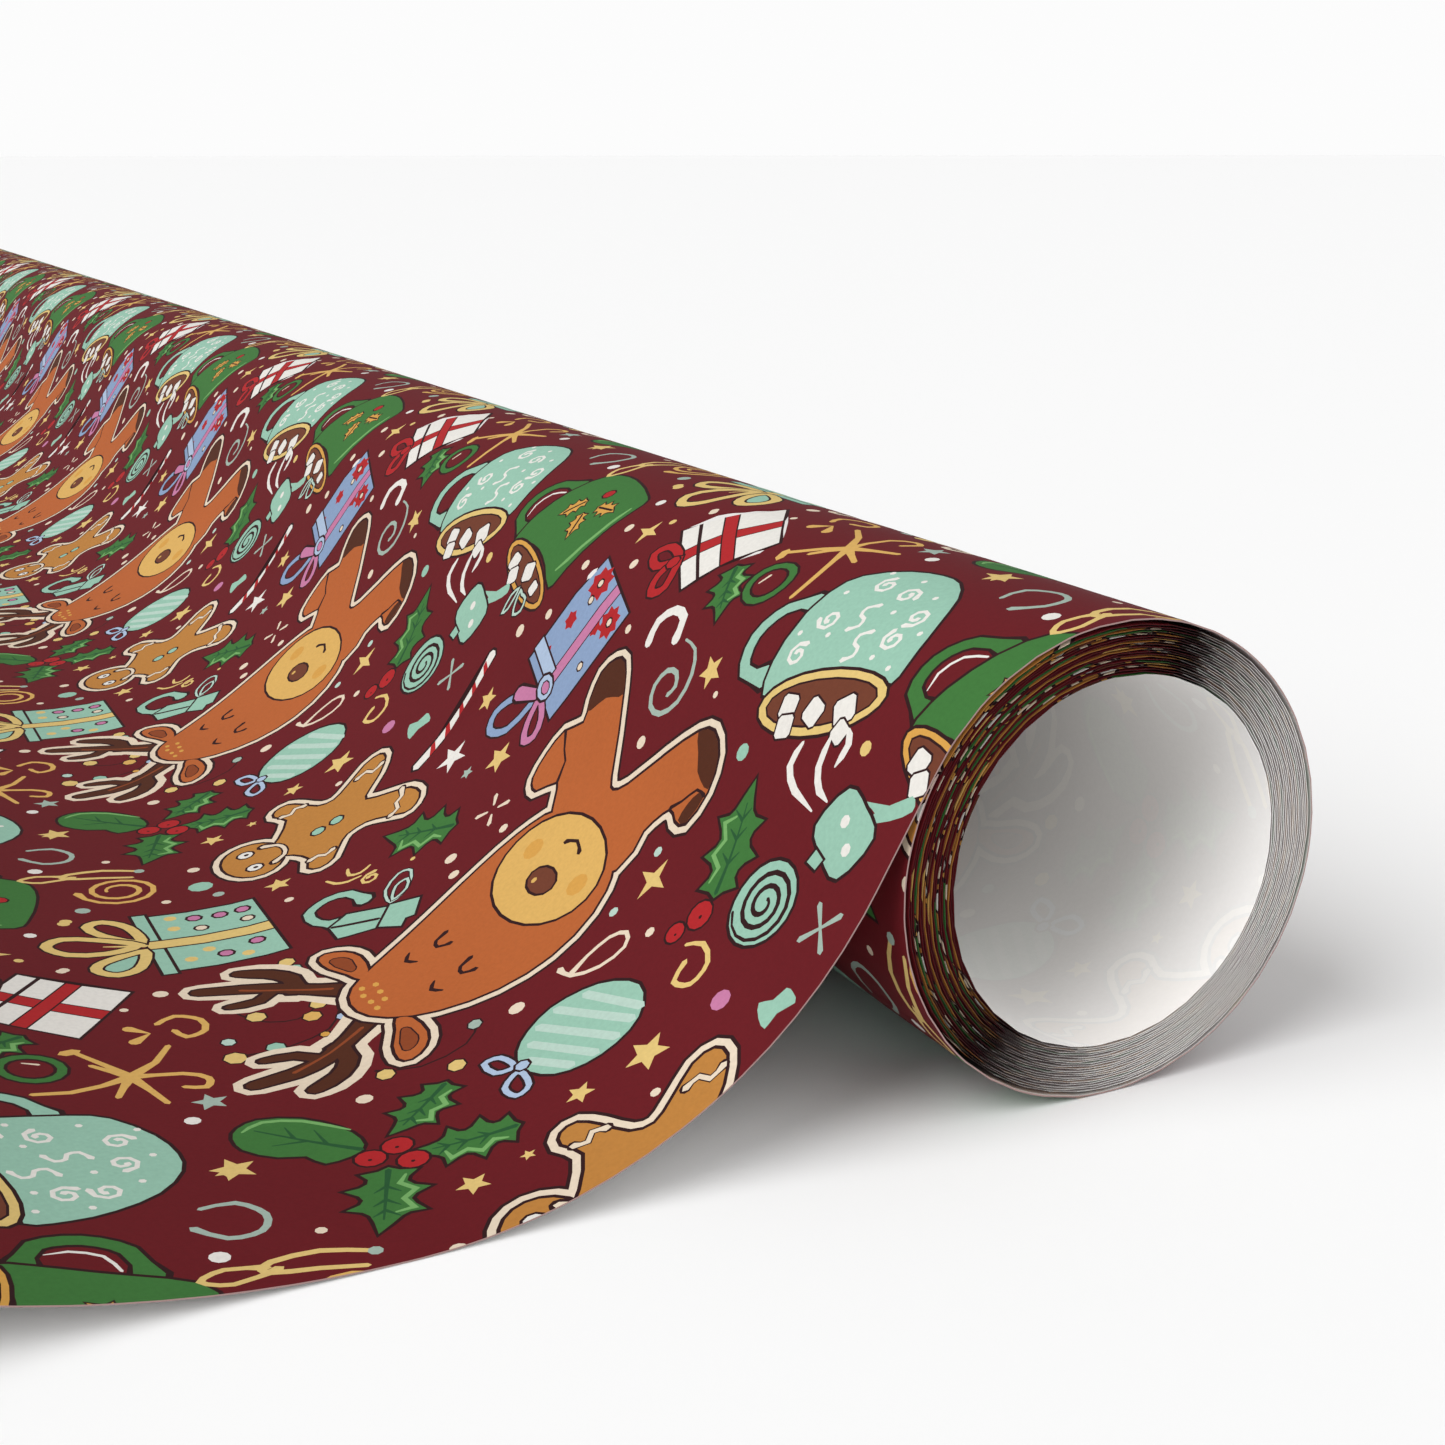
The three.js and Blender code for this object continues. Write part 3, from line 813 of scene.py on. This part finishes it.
def ink_borders(shapes):
    """Drawing of the borders between inks that show in one repeat."""
    drawing = Drawing()
    for rings, _ in shapes:
        for ring in rings:
            drawing.line(ring, closed=True)
    add_sides(drawing, [(0, length) for length in PERIOD])
    places, triangles, _ = triangulate(drawing.points, drawing.edges)
    middles = places[triangles].mean(axis=1)
    triangles = triangles[np.all((middles > 0) & (middles < PERIOD), axis=1)]
    owners = np.tile(painted(places, triangles, shapes), 3)
    edges = np.concatenate([triangles[:, [0, 1]], triangles[:, [1, 2]], triangles[:, [2, 0]]])
    ordered = np.sort(edges, axis=1)
    pairs = ordered[:, 0].astype(np.int64) * len(places) + ordered[:, 1]
    order = np.argsort(pairs, kind="stable")
    same = pairs[order][1:] == pairs[order][:-1]
    differs = owners[order][1:] != owners[order][:-1]
    return drawing_of(places, ordered[order[1:][same & differs]])


def sides_agree(places):
    """True if opposite sides of the repeat have the same places."""
    for column in (0, 1):
        low_side, high_side = (np.sort(places[places[:, column] == side, 1 - column])
                               for side in (0, PERIOD[column]))
        if not np.array_equal(low_side, high_side):
            return False
    return True


def settled(drawing, bends, grid):
    """Triangles of one repeat with every place on the grid and the same places on opposite sides.

    Places where lines cross move to the grid.  That can make new crossings, so it is done again
    until there are none.
    """
    for _ in range(MAX_ROUNDS):
        add_sides(drawing, bends)
        places, triangles, lines = triangulate(drawing.points + grid, drawing.edges, STRETCH)
        if np.array_equal(places, np.round(places)) and sides_agree(places):
            return places, triangles
        drawing = drawing_of(places, lines)
    raise RuntimeError("the lines of the print don't settle on the grid")


def print_repeat(borders, shapes, marks_along, marks_across):
    """Places, triangles and inks of one repeat, split where the sheet is cut at the marks."""
    bends = (np.round(np.linspace(0, PERIOD[0], BENDS_ALONG + 1)),
             np.round(np.linspace(0, PERIOD[1], BENDS_ACROSS + 1)))
    drawing = Drawing(borders.points, borders.edges)
    for across in np.unique(steps(marks_across) % PERIOD[1]):
        drawing.line([(along, across) for along in bends[0]])
    for along in np.unique(steps(marks_along) % PERIOD[0]):
        drawing.line([(along, across) for across in bends[1]])
    grid = [(along, across) for along in bends[0][1:-1] for across in bends[1][1:-1]]
    places, triangles = settled(drawing, bends, grid)
    return places, triangles, painted(places, triangles, shapes)


# --- Shape of the sheet --------------------------------------------------------------------------

class Path:
    """The back face of the sheet as places, headings and distances along it, in millimetres."""

    def __init__(self, place, direction):
        self.places = [np.array(place, float)]
        self.directions = [direction]
        self.along = [0.0]

    def move(self, chord, length, half_turn=0.0):
        """Goes a chord further, which is a length of the sheet, and turns by twice half a turn."""
        heading = math.radians(self.directions[-1] + half_turn)
        self.places.append(self.places[-1] + chord * np.array((math.cos(heading), math.sin(heading))))
        self.directions.append(self.directions[-1] + 2 * half_turn)
        self.along.append(self.along[-1] + length)

    def straight(self, length):
        self.move(length, length)

    def bend(self, radius, angle):
        """Turns by an angle in degrees: positive bends down, negative bends up."""
        count = max(4, int(abs(angle) * 2))
        half = angle / count / 2
        chord = 2 * radius * math.sin(math.radians(abs(half)))
        for _ in range(count):
            self.move(chord, radius * math.radians(abs(2 * half)), half)


def arc_height(radius, angle):
    """Height between the two ends of an arc that is level at one of them."""
    return radius * (1 - math.cos(math.radians(angle)))


def loose_path():
    """The sheet from where it leaves the roll to its cut end, and where its stretches start."""
    radius = ROLL_RADIUS - PAPER_THICKNESS
    angle = math.radians(LEAVING_ANGLE)
    start = (CENTRE_X + radius * math.cos(angle), CENTRE_Z + radius * math.sin(angle))
    drop = LEAVING_ANGLE - 90
    path = Path(start, LEAVING_ANGLE + 90)
    joint_drop = JOINT_GAP * math.sin(math.radians(drop / 2))
    height = start[1] - arc_height(DROP_RADIUS, drop) - joint_drop
    path.straight(height / math.sin(math.radians(drop)))
    path.bend(DROP_RADIUS, -drop / 2)
    path.straight(JOINT_GAP)
    path.bend(DROP_RADIUS, -drop / 2)
    valley = path.along[-1] + JOINT_GAP / 2
    path.straight(JOINT_GAP)
    path.bend(RISE_RADIUS, -RISE_SLOPE)
    path.straight(JOINT_GAP)
    path.bend(CREST_RADIUS, RISE_SLOPE + FALL_SLOPE)
    height = path.places[-1][1] - arc_height(LANDING_RADIUS, FALL_SLOPE)
    path.straight(height / math.sin(math.radians(FALL_SLOPE)))
    path.bend(LANDING_RADIUS, -FALL_SLOPE)
    flat_start = path.along[-1]
    path.straight(FLAT_LENGTH + PANEL_COUNT * PANEL_LENGTH)
    return path, valley, flat_start


LOOSE_PATH, VALLEY, FLAT_START = loose_path()


def loose_shape(along):
    """Back-face places and outward angles of the loose sheet."""
    places = np.array(LOOSE_PATH.places)
    x = np.interp(along, LOOSE_PATH.along, places[:, 0])
    z = np.interp(along, LOOSE_PATH.along, places[:, 1])
    outward = np.radians(np.interp(along, LOOSE_PATH.along, LOOSE_PATH.directions) - 90)
    return x, z, outward


def spiral_shape(start_radius, pitch, thickness, start_along, wobble=0.0):
    """Functions for a spiral of paper that starts at the leaving angle and runs inwards.

    One gives its back face at places along the sheet, the other the place after a number of turns.
    """
    turned = np.radians(np.arange(0, 360 * (TURN_COUNT + 1), 1.0))
    radii = start_radius - pitch * turned / (2 * math.pi)
    lengths = np.concatenate([[0], np.cumsum((radii[1:] + radii[:-1]) / 2 * np.diff(turned))])

    def shape(along):
        angle = np.interp(start_along - along, lengths, turned)
        unevenness = wobble * (np.sin(3.1 * angle + 0.7) + np.sin(0.83 * angle)) / 2
        radius = start_radius - pitch * angle / (2 * math.pi) - thickness + unevenness
        outward = math.radians(LEAVING_ANGLE) - angle
        return CENTRE_X + radius * np.cos(outward), CENTRE_Z + radius * np.sin(outward), outward

    def along_at(turns):
        return start_along - float(np.interp(turns * 2 * math.pi, turned, lengths))

    return shape, along_at


outer_shape, outer_along = spiral_shape(ROLL_RADIUS, TURN_PITCH, PAPER_THICKNESS, 0.0)
OUTER_MIDDLE = outer_along(0.5)
OUTER_END = outer_along(1)
WOUND_PITCH = (WOUND_OUTER_RADIUS - WOUND_THICKNESS - BORE_RADIUS) / sum(GROUP_TURNS.values())
wound_shape, wound_along = spiral_shape(WOUND_OUTER_RADIUS, WOUND_PITCH, WOUND_THICKNESS, OUTER_END,
                                        WOUND_WOBBLE)

# The loose sheet is split in the middle of each flat panel, so that every joint is inside a piece
panel_middles = [FLAT_START + FLAT_LENGTH / 2]
panel_middles += [FLAT_START + FLAT_LENGTH + PANEL_LENGTH * (k + 0.5) for k in range(PANEL_COUNT)]
SHEET_CUTS = [0.0, VALLEY, *panel_middles[:-1], panel_middles[-1] - CUT_END_EXTRA, LOOSE_PATH.along[-1]]

# Turns of the roll at which one group of turns ends and the next begins
group_starts = [0, *np.cumsum(list(GROUP_TURNS.values()))]
WOUND_CUTS = [wound_along(t) for t in group_starts]
FIRST_TURN_CUTS = [wound_along(t + 1) for t in group_starts[1:3]]


# --- Faces of the sheet --------------------------------------------------------------------------

def artwork_fill(repeat, low, high, bottom, top):
    """Printed triangles over a stretch of the flat sheet."""
    places, triangles, inks = repeat
    middles = places[triangles].mean(axis=1)
    parts = []
    for i in range(math.floor(low / PERIOD[0]), math.ceil(high / PERIOD[0])):
        for j in range(math.floor(bottom / PERIOD[1]), math.ceil(top / PERIOD[1])):
            shift = PERIOD * (i, j)
            moved = middles + shift
            kept = np.all((moved > (low, bottom)) & (moved < (high, top)), axis=1)
            if kept.any():
                used, renumbered = np.unique(triangles[kept], return_inverse=True)
                parts.append((places[used] + shift, renumbered.reshape(-1, 3), inks[kept]))
    return welded(parts)


def plain_fill(low, high, bottom, top, edge_places, spacing):
    """Long triangles over a rectangle between places on its edges, and between nowhere else."""
    within = np.all((edge_places >= (low, bottom)) & (edge_places <= (high, top)), axis=1)
    points = edge_places[within]
    lower, upper = (np.nonzero(points[:, 1] == side)[0] for side in (bottom, top))
    edges = set()
    for a in np.linspace(low, high, max(2, math.ceil((high - low) * STEP / spacing) + 1)):
        first = lower[np.argmin(np.abs(points[lower, 0] - a))]
        last = upper[np.argmin(np.abs(points[upper, 0] - a))]
        edges.add((int(first), int(last)))
    places, triangles, _ = triangulate(points, sorted(edges))
    return np.round(places), triangles, np.full(len(triangles), GROUND)


CODE_BASE = 1 << 20     # more grid steps than the sheet is wide


def place_codes(places):
    """One whole number for each place on the grid."""
    whole = places.astype(np.int64)
    return whole[:, 0] * CODE_BASE + whole[:, 1]


def welded(parts):
    """Joins fills into one face of the sheet, merging places that are the same."""
    places = np.concatenate([p for p, _, _ in parts])
    starts = np.cumsum([0] + [len(p) for p, _, _ in parts[:-1]])
    triangles = np.concatenate([t + start for (_, t, _), start in zip(parts, starts)])
    inks = np.concatenate([i for _, _, i in parts])
    _, first, renumbered = np.unique(place_codes(places), return_index=True, return_inverse=True)
    return places[first], renumbered.reshape(-1)[triangles], inks


def open_edges(triangles):
    """Directed edges that only one triangle has."""
    edges = np.concatenate([triangles[:, [0, 1]], triangles[:, [1, 2]], triangles[:, [2, 0]]])
    size = int(triangles.max()) + 1
    ahead = edges[:, 0].astype(np.int64) * size + edges[:, 1]
    back = edges[:, 1].astype(np.int64) * size + edges[:, 0]
    return edges[~np.isin(ahead, back)]


def printed_face(repeat, low, high, bands, spacing):
    """One face of a stretch: artwork in the bands across the sheet and plain ground between them."""
    parts = [artwork_fill(repeat, low, high, bottom, top) for bottom, top in bands]
    gaps = [(a[1], b[0]) for a, b in zip(bands[:-1], bands[1:])]
    edge_places = np.concatenate([places for places, _, _ in parts])
    for bottom, top in gaps:
        parts.append(plain_fill(low, high, bottom, top, edge_places, spacing))
    return welded(parts)


def paper_piece(name, low, high, shape, thickness, bands, repeat, show_through=0.0,
                edge_colour=None, spacing=SHEET_SPACING):
    """Closed thin sheet over a stretch: printed face, back face and the cut edges between them."""
    low, high, bands = steps(low), steps(high), steps(bands)
    places, triangles, inks = printed_face(repeat, low, high, bands, spacing)
    rim = open_edges(triangles)
    if show_through:
        back_places, back_triangles, back_inks = places, triangles, inks
    else:
        rim_places = places[np.unique(rim)]
        back_places, back_triangles, back_inks = plain_fill(low, high, 0, steps(SHEET_WIDTH), rim_places,
                                                            spacing)
    front, normals = bent(places, shape, thickness)
    back, back_normals = bent(back_places, shape, 0.0)
    match = matching(back_places, places[rim.ravel()]).reshape(-1, 2) + len(front)
    corners = np.concatenate([triangles[:, ::-1], back_triangles + len(front)])
    quads = np.stack([rim[:, 0], rim[:, 1], match[:, 1], match[:, 0]], axis=1)
    mesh = bpy.data.meshes.new(name)
    all_places = np.concatenate([front, back]) * MM
    fill_mesh(mesh, all_places, corners, quads)
    set_normals(mesh, np.concatenate([normals, -back_normals]), corners, quads, all_places)
    edges = (edge_colour or sheet_edges)(normals[rim[:, 0]])
    colour_faces(mesh, inks, back_inks, edges, show_through or SHEET_TRACE)
    piece = bpy.data.objects.new(name, mesh)
    bpy.context.scene.collection.objects.link(piece)
    for material in (PRINTED, PLAIN):
        mesh.materials.append(material)
    on_back = np.zeros(len(corners) + len(quads), np.int32)
    on_back[len(triangles):] = 1
    mesh.polygons.foreach_set("material_index", on_back)
    mesh.update()
    return piece


def bent(places, shape, lift):
    """Places on the bent sheet, lifted from its back face, and the outward normals."""
    along, across = (places * STEP).T
    x, z, outward = shape(along)
    normals = np.stack([np.cos(outward), np.zeros(len(x)), np.sin(outward)], axis=1)
    found = np.stack([x, NEAR_Y + across, z], axis=1)
    return found + normals * lift, normals


def matching(places, wanted):
    """Index in places of each wanted place."""
    have, want = place_codes(places), place_codes(wanted)
    order = np.argsort(have)
    found = order[np.minimum(np.searchsorted(have[order], want), len(have) - 1)]
    if not np.array_equal(have[found], want):
        raise RuntimeError("a place on the rim has no partner on the back face")
    return found


def fill_mesh(mesh, places, corners, quads):
    """Puts triangles and quads over the places into an empty mesh."""
    sizes = np.concatenate([np.full(len(corners), 3), np.full(len(quads), 4)]).astype(np.int32)
    loops = np.concatenate([corners.ravel(), quads.ravel()]).astype(np.int32)
    mesh.vertices.add(len(places))
    mesh.vertices.foreach_set("co", places.astype(np.float32).ravel())
    mesh.loops.add(len(loops))
    mesh.loops.foreach_set("vertex_index", loops)
    mesh.polygons.add(len(sizes))
    starts = np.concatenate([[0], np.cumsum(sizes)[:-1]]).astype(np.int32)
    mesh.polygons.foreach_set("loop_start", starts)
    mesh.polygons.foreach_set("use_smooth", np.ones(len(sizes), bool))
    mesh.update()


def set_normals(mesh, vertex_normals, corners, quads, places):
    """Smooth normals of the bent sheet on its faces, flat ones on its cut edges."""
    a, b, c = (places[quads[:, i]] for i in range(3))
    flat = np.cross(b - a, c - b)
    flat /= np.maximum(np.linalg.norm(flat, axis=1, keepdims=True), 1e-20)
    on_corners = vertex_normals[corners.ravel()]
    on_quads = np.repeat(flat, 4, axis=0)
    mesh.normals_split_custom_set(np.concatenate([on_corners, on_quads]).astype(np.float32))


def sheet_edges(normals):
    """Cut edges of the loose sheet, in one colour all round."""
    return np.tile(np.array(linear(SHEET_EDGE)), (len(normals), 1))


# Painted light and shade on the wound turns' cut edges: edges facing this way are painted white as lit, and
# edges facing away are painted dark as the shade between the turns.
EDGE_LIGHT = np.array((1.65, 0, -0.75))     # facing that shows the plain backs between the turns


def shaded_wound_edges(normals):
    """Cut edges of the wound turns with painted shade, dark line ink, on the side where the printed faces
    show, and painted light, white paper, on the side where the plain backs show.
    """
    light = np.clip(normals @ EDGE_LIGHT, 0, 1)[:, None]
    return np.array(linear(INKS["line"])) * (1 - light) + np.array(linear(LIT_PAPER)) * light


def colour_faces(mesh, front_inks, back_inks, edge_colours, trace):
    """Ink colours at the face corners.  The back carries a trace of the print seen through it."""
    # painted light and shade: the back takes the brightened paper inside the roll and the darkened paper on
    # the loose sheet
    paper = np.array(linear(LIT_PAPER if trace > SHEET_TRACE else SHADED_PAPER))
    front = INK_COLOURS[front_inks]
    back = paper * (1 - trace) + INK_COLOURS[back_inks] * trace
    corner_colours = np.concatenate([np.repeat(front, 3, axis=0), np.repeat(back, 3, axis=0),
                                     np.repeat(edge_colours, 4, axis=0)])
    with_alpha = np.concatenate([corner_colours, np.ones((len(corner_colours), 1))], axis=1)
    layer = mesh.color_attributes.new("ink", "FLOAT_COLOR", "CORNER")
    layer.data.foreach_set("color", with_alpha.astype(np.float32).ravel())


# --- Materials -----------------------------------------------------------------------------------

CLOUDS = 60             # soft variation of the ink, in patches of about 15 mm
FIBRES = 2600           # fibres of the paper, under half a millimetre
FIBRE_BUMP = 0.12
FIBRE_HEIGHT = 0.04     # millimetres


def noise(nodes, links, place, scale, detail):
    texture = nodes.new("ShaderNodeTexNoise")
    texture.inputs["Scale"].default_value = scale
    texture.inputs["Detail"].default_value = detail
    links.new(place.outputs["Object"], texture.inputs["Vector"])
    return texture.outputs["Fac"]


def varied(nodes, links, texture, share):
    """Factor that goes this share above and below one with a texture."""
    spread = nodes.new("ShaderNodeMapRange")
    spread.inputs["To Min"].default_value = 1 - share
    spread.inputs["To Max"].default_value = 1 + share
    links.new(texture, spread.inputs["Value"])
    return spread.outputs["Result"]


def paper_material(name, roughness, mottle, grain, specular):
    """Ink or bare paper with soft cloudy variation and a fine fibre grain."""
    material = bpy.data.materials.new(name)
    material.use_nodes = True
    nodes, links = material.node_tree.nodes, material.node_tree.links
    shader = nodes["Principled BSDF"]
    shader.inputs["Roughness"].default_value = roughness
    shader.inputs["Specular IOR Level"].default_value = specular
    ink = nodes.new("ShaderNodeAttribute")
    ink.attribute_name = "ink"
    place = nodes.new("ShaderNodeTexCoord")
    clouds = noise(nodes, links, place, CLOUDS, 3)
    fibres = noise(nodes, links, place, FIBRES, 2)
    both = nodes.new("ShaderNodeMath")
    both.operation = "MULTIPLY"
    links.new(varied(nodes, links, clouds, mottle), both.inputs[0])
    links.new(varied(nodes, links, fibres, grain), both.inputs[1])
    scaled = nodes.new("ShaderNodeVectorMath")
    scaled.operation = "SCALE"
    links.new(ink.outputs["Color"], scaled.inputs[0])
    links.new(both.outputs["Value"], scaled.inputs["Scale"])
    links.new(scaled.outputs["Vector"], shader.inputs["Base Color"])
    bump = nodes.new("ShaderNodeBump")
    bump.inputs["Strength"].default_value = FIBRE_BUMP
    bump.inputs["Distance"].default_value = FIBRE_HEIGHT * MM
    links.new(fibres, bump.inputs["Height"])
    links.new(bump.outputs["Normal"], shader.inputs["Normal"])
    return material


# --- Building the roll ---------------------------------------------------------------------------

# Bands across the sheet that carry the print
WHOLE = [(0.0, SHEET_WIDTH)]
EDGES = [(0.0, EDGE_BAND), (SHEET_WIDTH - EDGE_BAND, SHEET_WIDTH)]
PUSHED = [(0.0, PUSHED_OUT), (SHEET_WIDTH - EDGE_BAND, SHEET_WIDTH)]
BORE = [(0.0, BORE_BAND), (SHEET_WIDTH - BORE_BAND, SHEET_WIDTH)]

PRINTED = paper_material("printed_paper", roughness=0.62, mottle=0.06, grain=0.11, specular=0.12)
PLAIN = paper_material("plain_paper_back", roughness=0.8, mottle=0.02, grain=0.03, specular=0.2)

draw_print()
shapes = list(wrapped_shapes())
borders = ink_borders(shapes)
SHEET_PRINT = print_repeat(borders, shapes, [*SHEET_CUTS, OUTER_MIDDLE, OUTER_END], [SHEET_WIDTH])
WOUND_PRINT = print_repeat(borders, shapes, [*WOUND_CUTS, *FIRST_TURN_CUTS],
                           [edge for band in (*EDGES, *PUSHED, *BORE) for edge in band])


def declare(piece, nodes, body=None):
    """Hides the CAD parts that a piece stands for and hangs it from the body that it moves with, or else
    bakes its place into its mesh.
    """
    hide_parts(*nodes)
    if body:
        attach(piece, body)
    else:
        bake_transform(piece)


def build_loose_sheet():
    """Outermost turn and the sheet from it to the cut end."""
    def sheet(name, low, high, shape=loose_shape, show_through=0.0):
        return paper_piece(name, low, high, shape, PAPER_THICKNESS, WHOLE, SHEET_PRINT, show_through)

    for name, low, high in (("outermost_turn_front_half", OUTER_MIDDLE, 0.0),
                            ("outermost_turn_back_half", OUTER_END, OUTER_MIDDLE)):
        piece = sheet(name, low, high, outer_shape)
        declare(piece, ["outer_turn"], body="loose_sheet")
    stretches = {
        "loose_sheet_drop": ["sheet_drop_upper", "sheet_drop_lower"],
        "loose_sheet_wave": ["sheet_rise", "sheet_crest", "sheet_landing"],
    }
    for k, (name, nodes) in enumerate(stretches.items()):
        low, high = SHEET_CUTS[k:k + 2]
        declare(sheet(name, low, high), nodes, body="loose_sheet")
    for k, place in enumerate(("near", "middle", "far")):
        low, high = SHEET_CUTS[k + len(stretches):][:2]
        piece = sheet(f"loose_end_{place}", low, high, show_through=SHEET_TRACE)
        node = f"sheet_end_{k + 1}"
        declare(piece, [node])
    low, high = SHEET_CUTS[-2:]
    cut_end = sheet("loose_end_cut_edge", low, high, show_through=SHEET_TRACE)
    declare(cut_end, [], body="sheet_end_far")


def build_windings():
    """Wound turns.  The first turn of the groups that slide out has print where it comes into view."""
    def wound(name, low, high, bands, show_through=0.0):
        return paper_piece(name, low, high, wound_shape, WOUND_THICKNESS, bands, WOUND_PRINT, show_through,
                           shaded_wound_edges, WOUND_SPACING)

    bodies = {"outer": "wound_roll", "middle": "middle_of_roll", "inner": "inside_of_roll"}
    for k, (group, body) in enumerate(bodies.items()):
        high, low = WOUND_CUTS[k], WOUND_CUTS[k + 1]
        node = f"{group}_windings"
        if group == "outer":
            piece = wound("outer_turns_of_paper", low, high, EDGES)
            declare(piece, [node], body=body)
            continue
        first_end = FIRST_TURN_CUTS[k - 1]
        first = wound(f"{group}_first_turn_of_paper", first_end, high, PUSHED)
        declare(first, [node], body=body)
        rest = wound(f"{group}_turns_of_paper", low, first_end, EDGES)
        declare(rest, [node], body=body)
    high, low = WOUND_CUTS[-2:]
    innermost = wound("innermost_turn_of_paper", low, high, BORE, show_through=BORE_TRACE)
    declare(innermost, ["innermost_turn"], body="inside_of_roll")


build_loose_sheet()
build_windings()


# --- Floor, light and camera ---------------------------------------------------------------------

FLOOR_REACH = 30.0                  # metres from the middle to each side
FLOOR_DROP = 0.05                   # millimetres between the paper and the floor
FLOOR_WHITE = 0.87
AMBIENT = 0.385                     # white surround as a light
BACKDROP = 0.975                    # the same as the camera sees it
SUNS = {                            # strength, softness in degrees and heading
    "key": (2.6, 46, (0.74, 0.12, -0.64)),
    "fill": (1.85, 110, (-0.38, 0.92, -0.18)),
}
LENS = 50.2
CAMERA_PLACE = (-90.14, -115.35, 51.78)     # millimetres from the near end of the roll's axis
CAMERA_TILT = 74.17
CAMERA_HEADING = -26.25


def added(name, data):
    """New object in the scene that holds the data."""
    made = bpy.data.objects.new(name, data)
    bpy.context.scene.collection.objects.link(made)
    return made


def build_stage():
    mesh = bpy.data.meshes.new("floor")
    mesh.from_pydata([(x * FLOOR_REACH, y * FLOOR_REACH, -FLOOR_DROP * MM)
                      for x, y in ((-1, -1), (1, -1), (1, 1), (-1, 1))], [], [(0, 1, 2, 3)])
    material = bpy.data.materials.new("floor_white")
    material.use_nodes = True
    shader = material.node_tree.nodes["Principled BSDF"]
    shader.inputs["Base Color"].default_value = (FLOOR_WHITE, FLOOR_WHITE, FLOOR_WHITE, 1)
    shader.inputs["Roughness"].default_value = 0.9
    shader.inputs["Specular IOR Level"].default_value = 0.1
    mesh.materials.append(material)
    floor = added("floor", mesh)


def white_background(nodes, strength):
    background = nodes.new("ShaderNodeBackground")
    background.inputs["Color"].default_value = (1, 1, 1, 1)
    background.inputs["Strength"].default_value = strength
    return background.outputs["Background"]


def build_light():
    """White surround, a soft key from the upper left and a wide fill from the near side."""
    world = bpy.data.worlds.new("studio")
    world.use_nodes = True
    nodes, links = world.node_tree.nodes, world.node_tree.links
    ray = nodes.new("ShaderNodeLightPath")
    mix = nodes.new("ShaderNodeMixShader")
    links.new(ray.outputs["Is Camera Ray"], mix.inputs["Fac"])
    links.new(white_background(nodes, AMBIENT), mix.inputs[1])
    links.new(white_background(nodes, BACKDROP), mix.inputs[2])
    links.new(mix.outputs["Shader"], nodes["World Output"].inputs["Surface"])
    bpy.context.scene.world = world
    for name, (energy, softness, heading) in SUNS.items():
        data = bpy.data.lights.new(name, "SUN")
        data.energy = energy
        data.angle = math.radians(softness)
        added(name, data).rotation_euler = Vector(heading).to_track_quat("-Z", "Y").to_euler()


def build_camera():
    data = bpy.data.cameras.new("camera")
    data.sensor_width = 36.0
    data.lens = LENS
    data.clip_start = 0.01
    data.clip_end = 50
    camera = added("camera", data)
    camera.location = (Vector((CENTRE_X, NEAR_Y, CENTRE_Z)) + Vector(CAMERA_PLACE)) * MM
    camera.rotation_euler = Euler((math.radians(CAMERA_TILT), 0, math.radians(CAMERA_HEADING)))
    bpy.context.scene.camera = camera


build_stage()
build_light()
build_camera()
bpy.context.scene.view_settings.view_transform = "Standard"
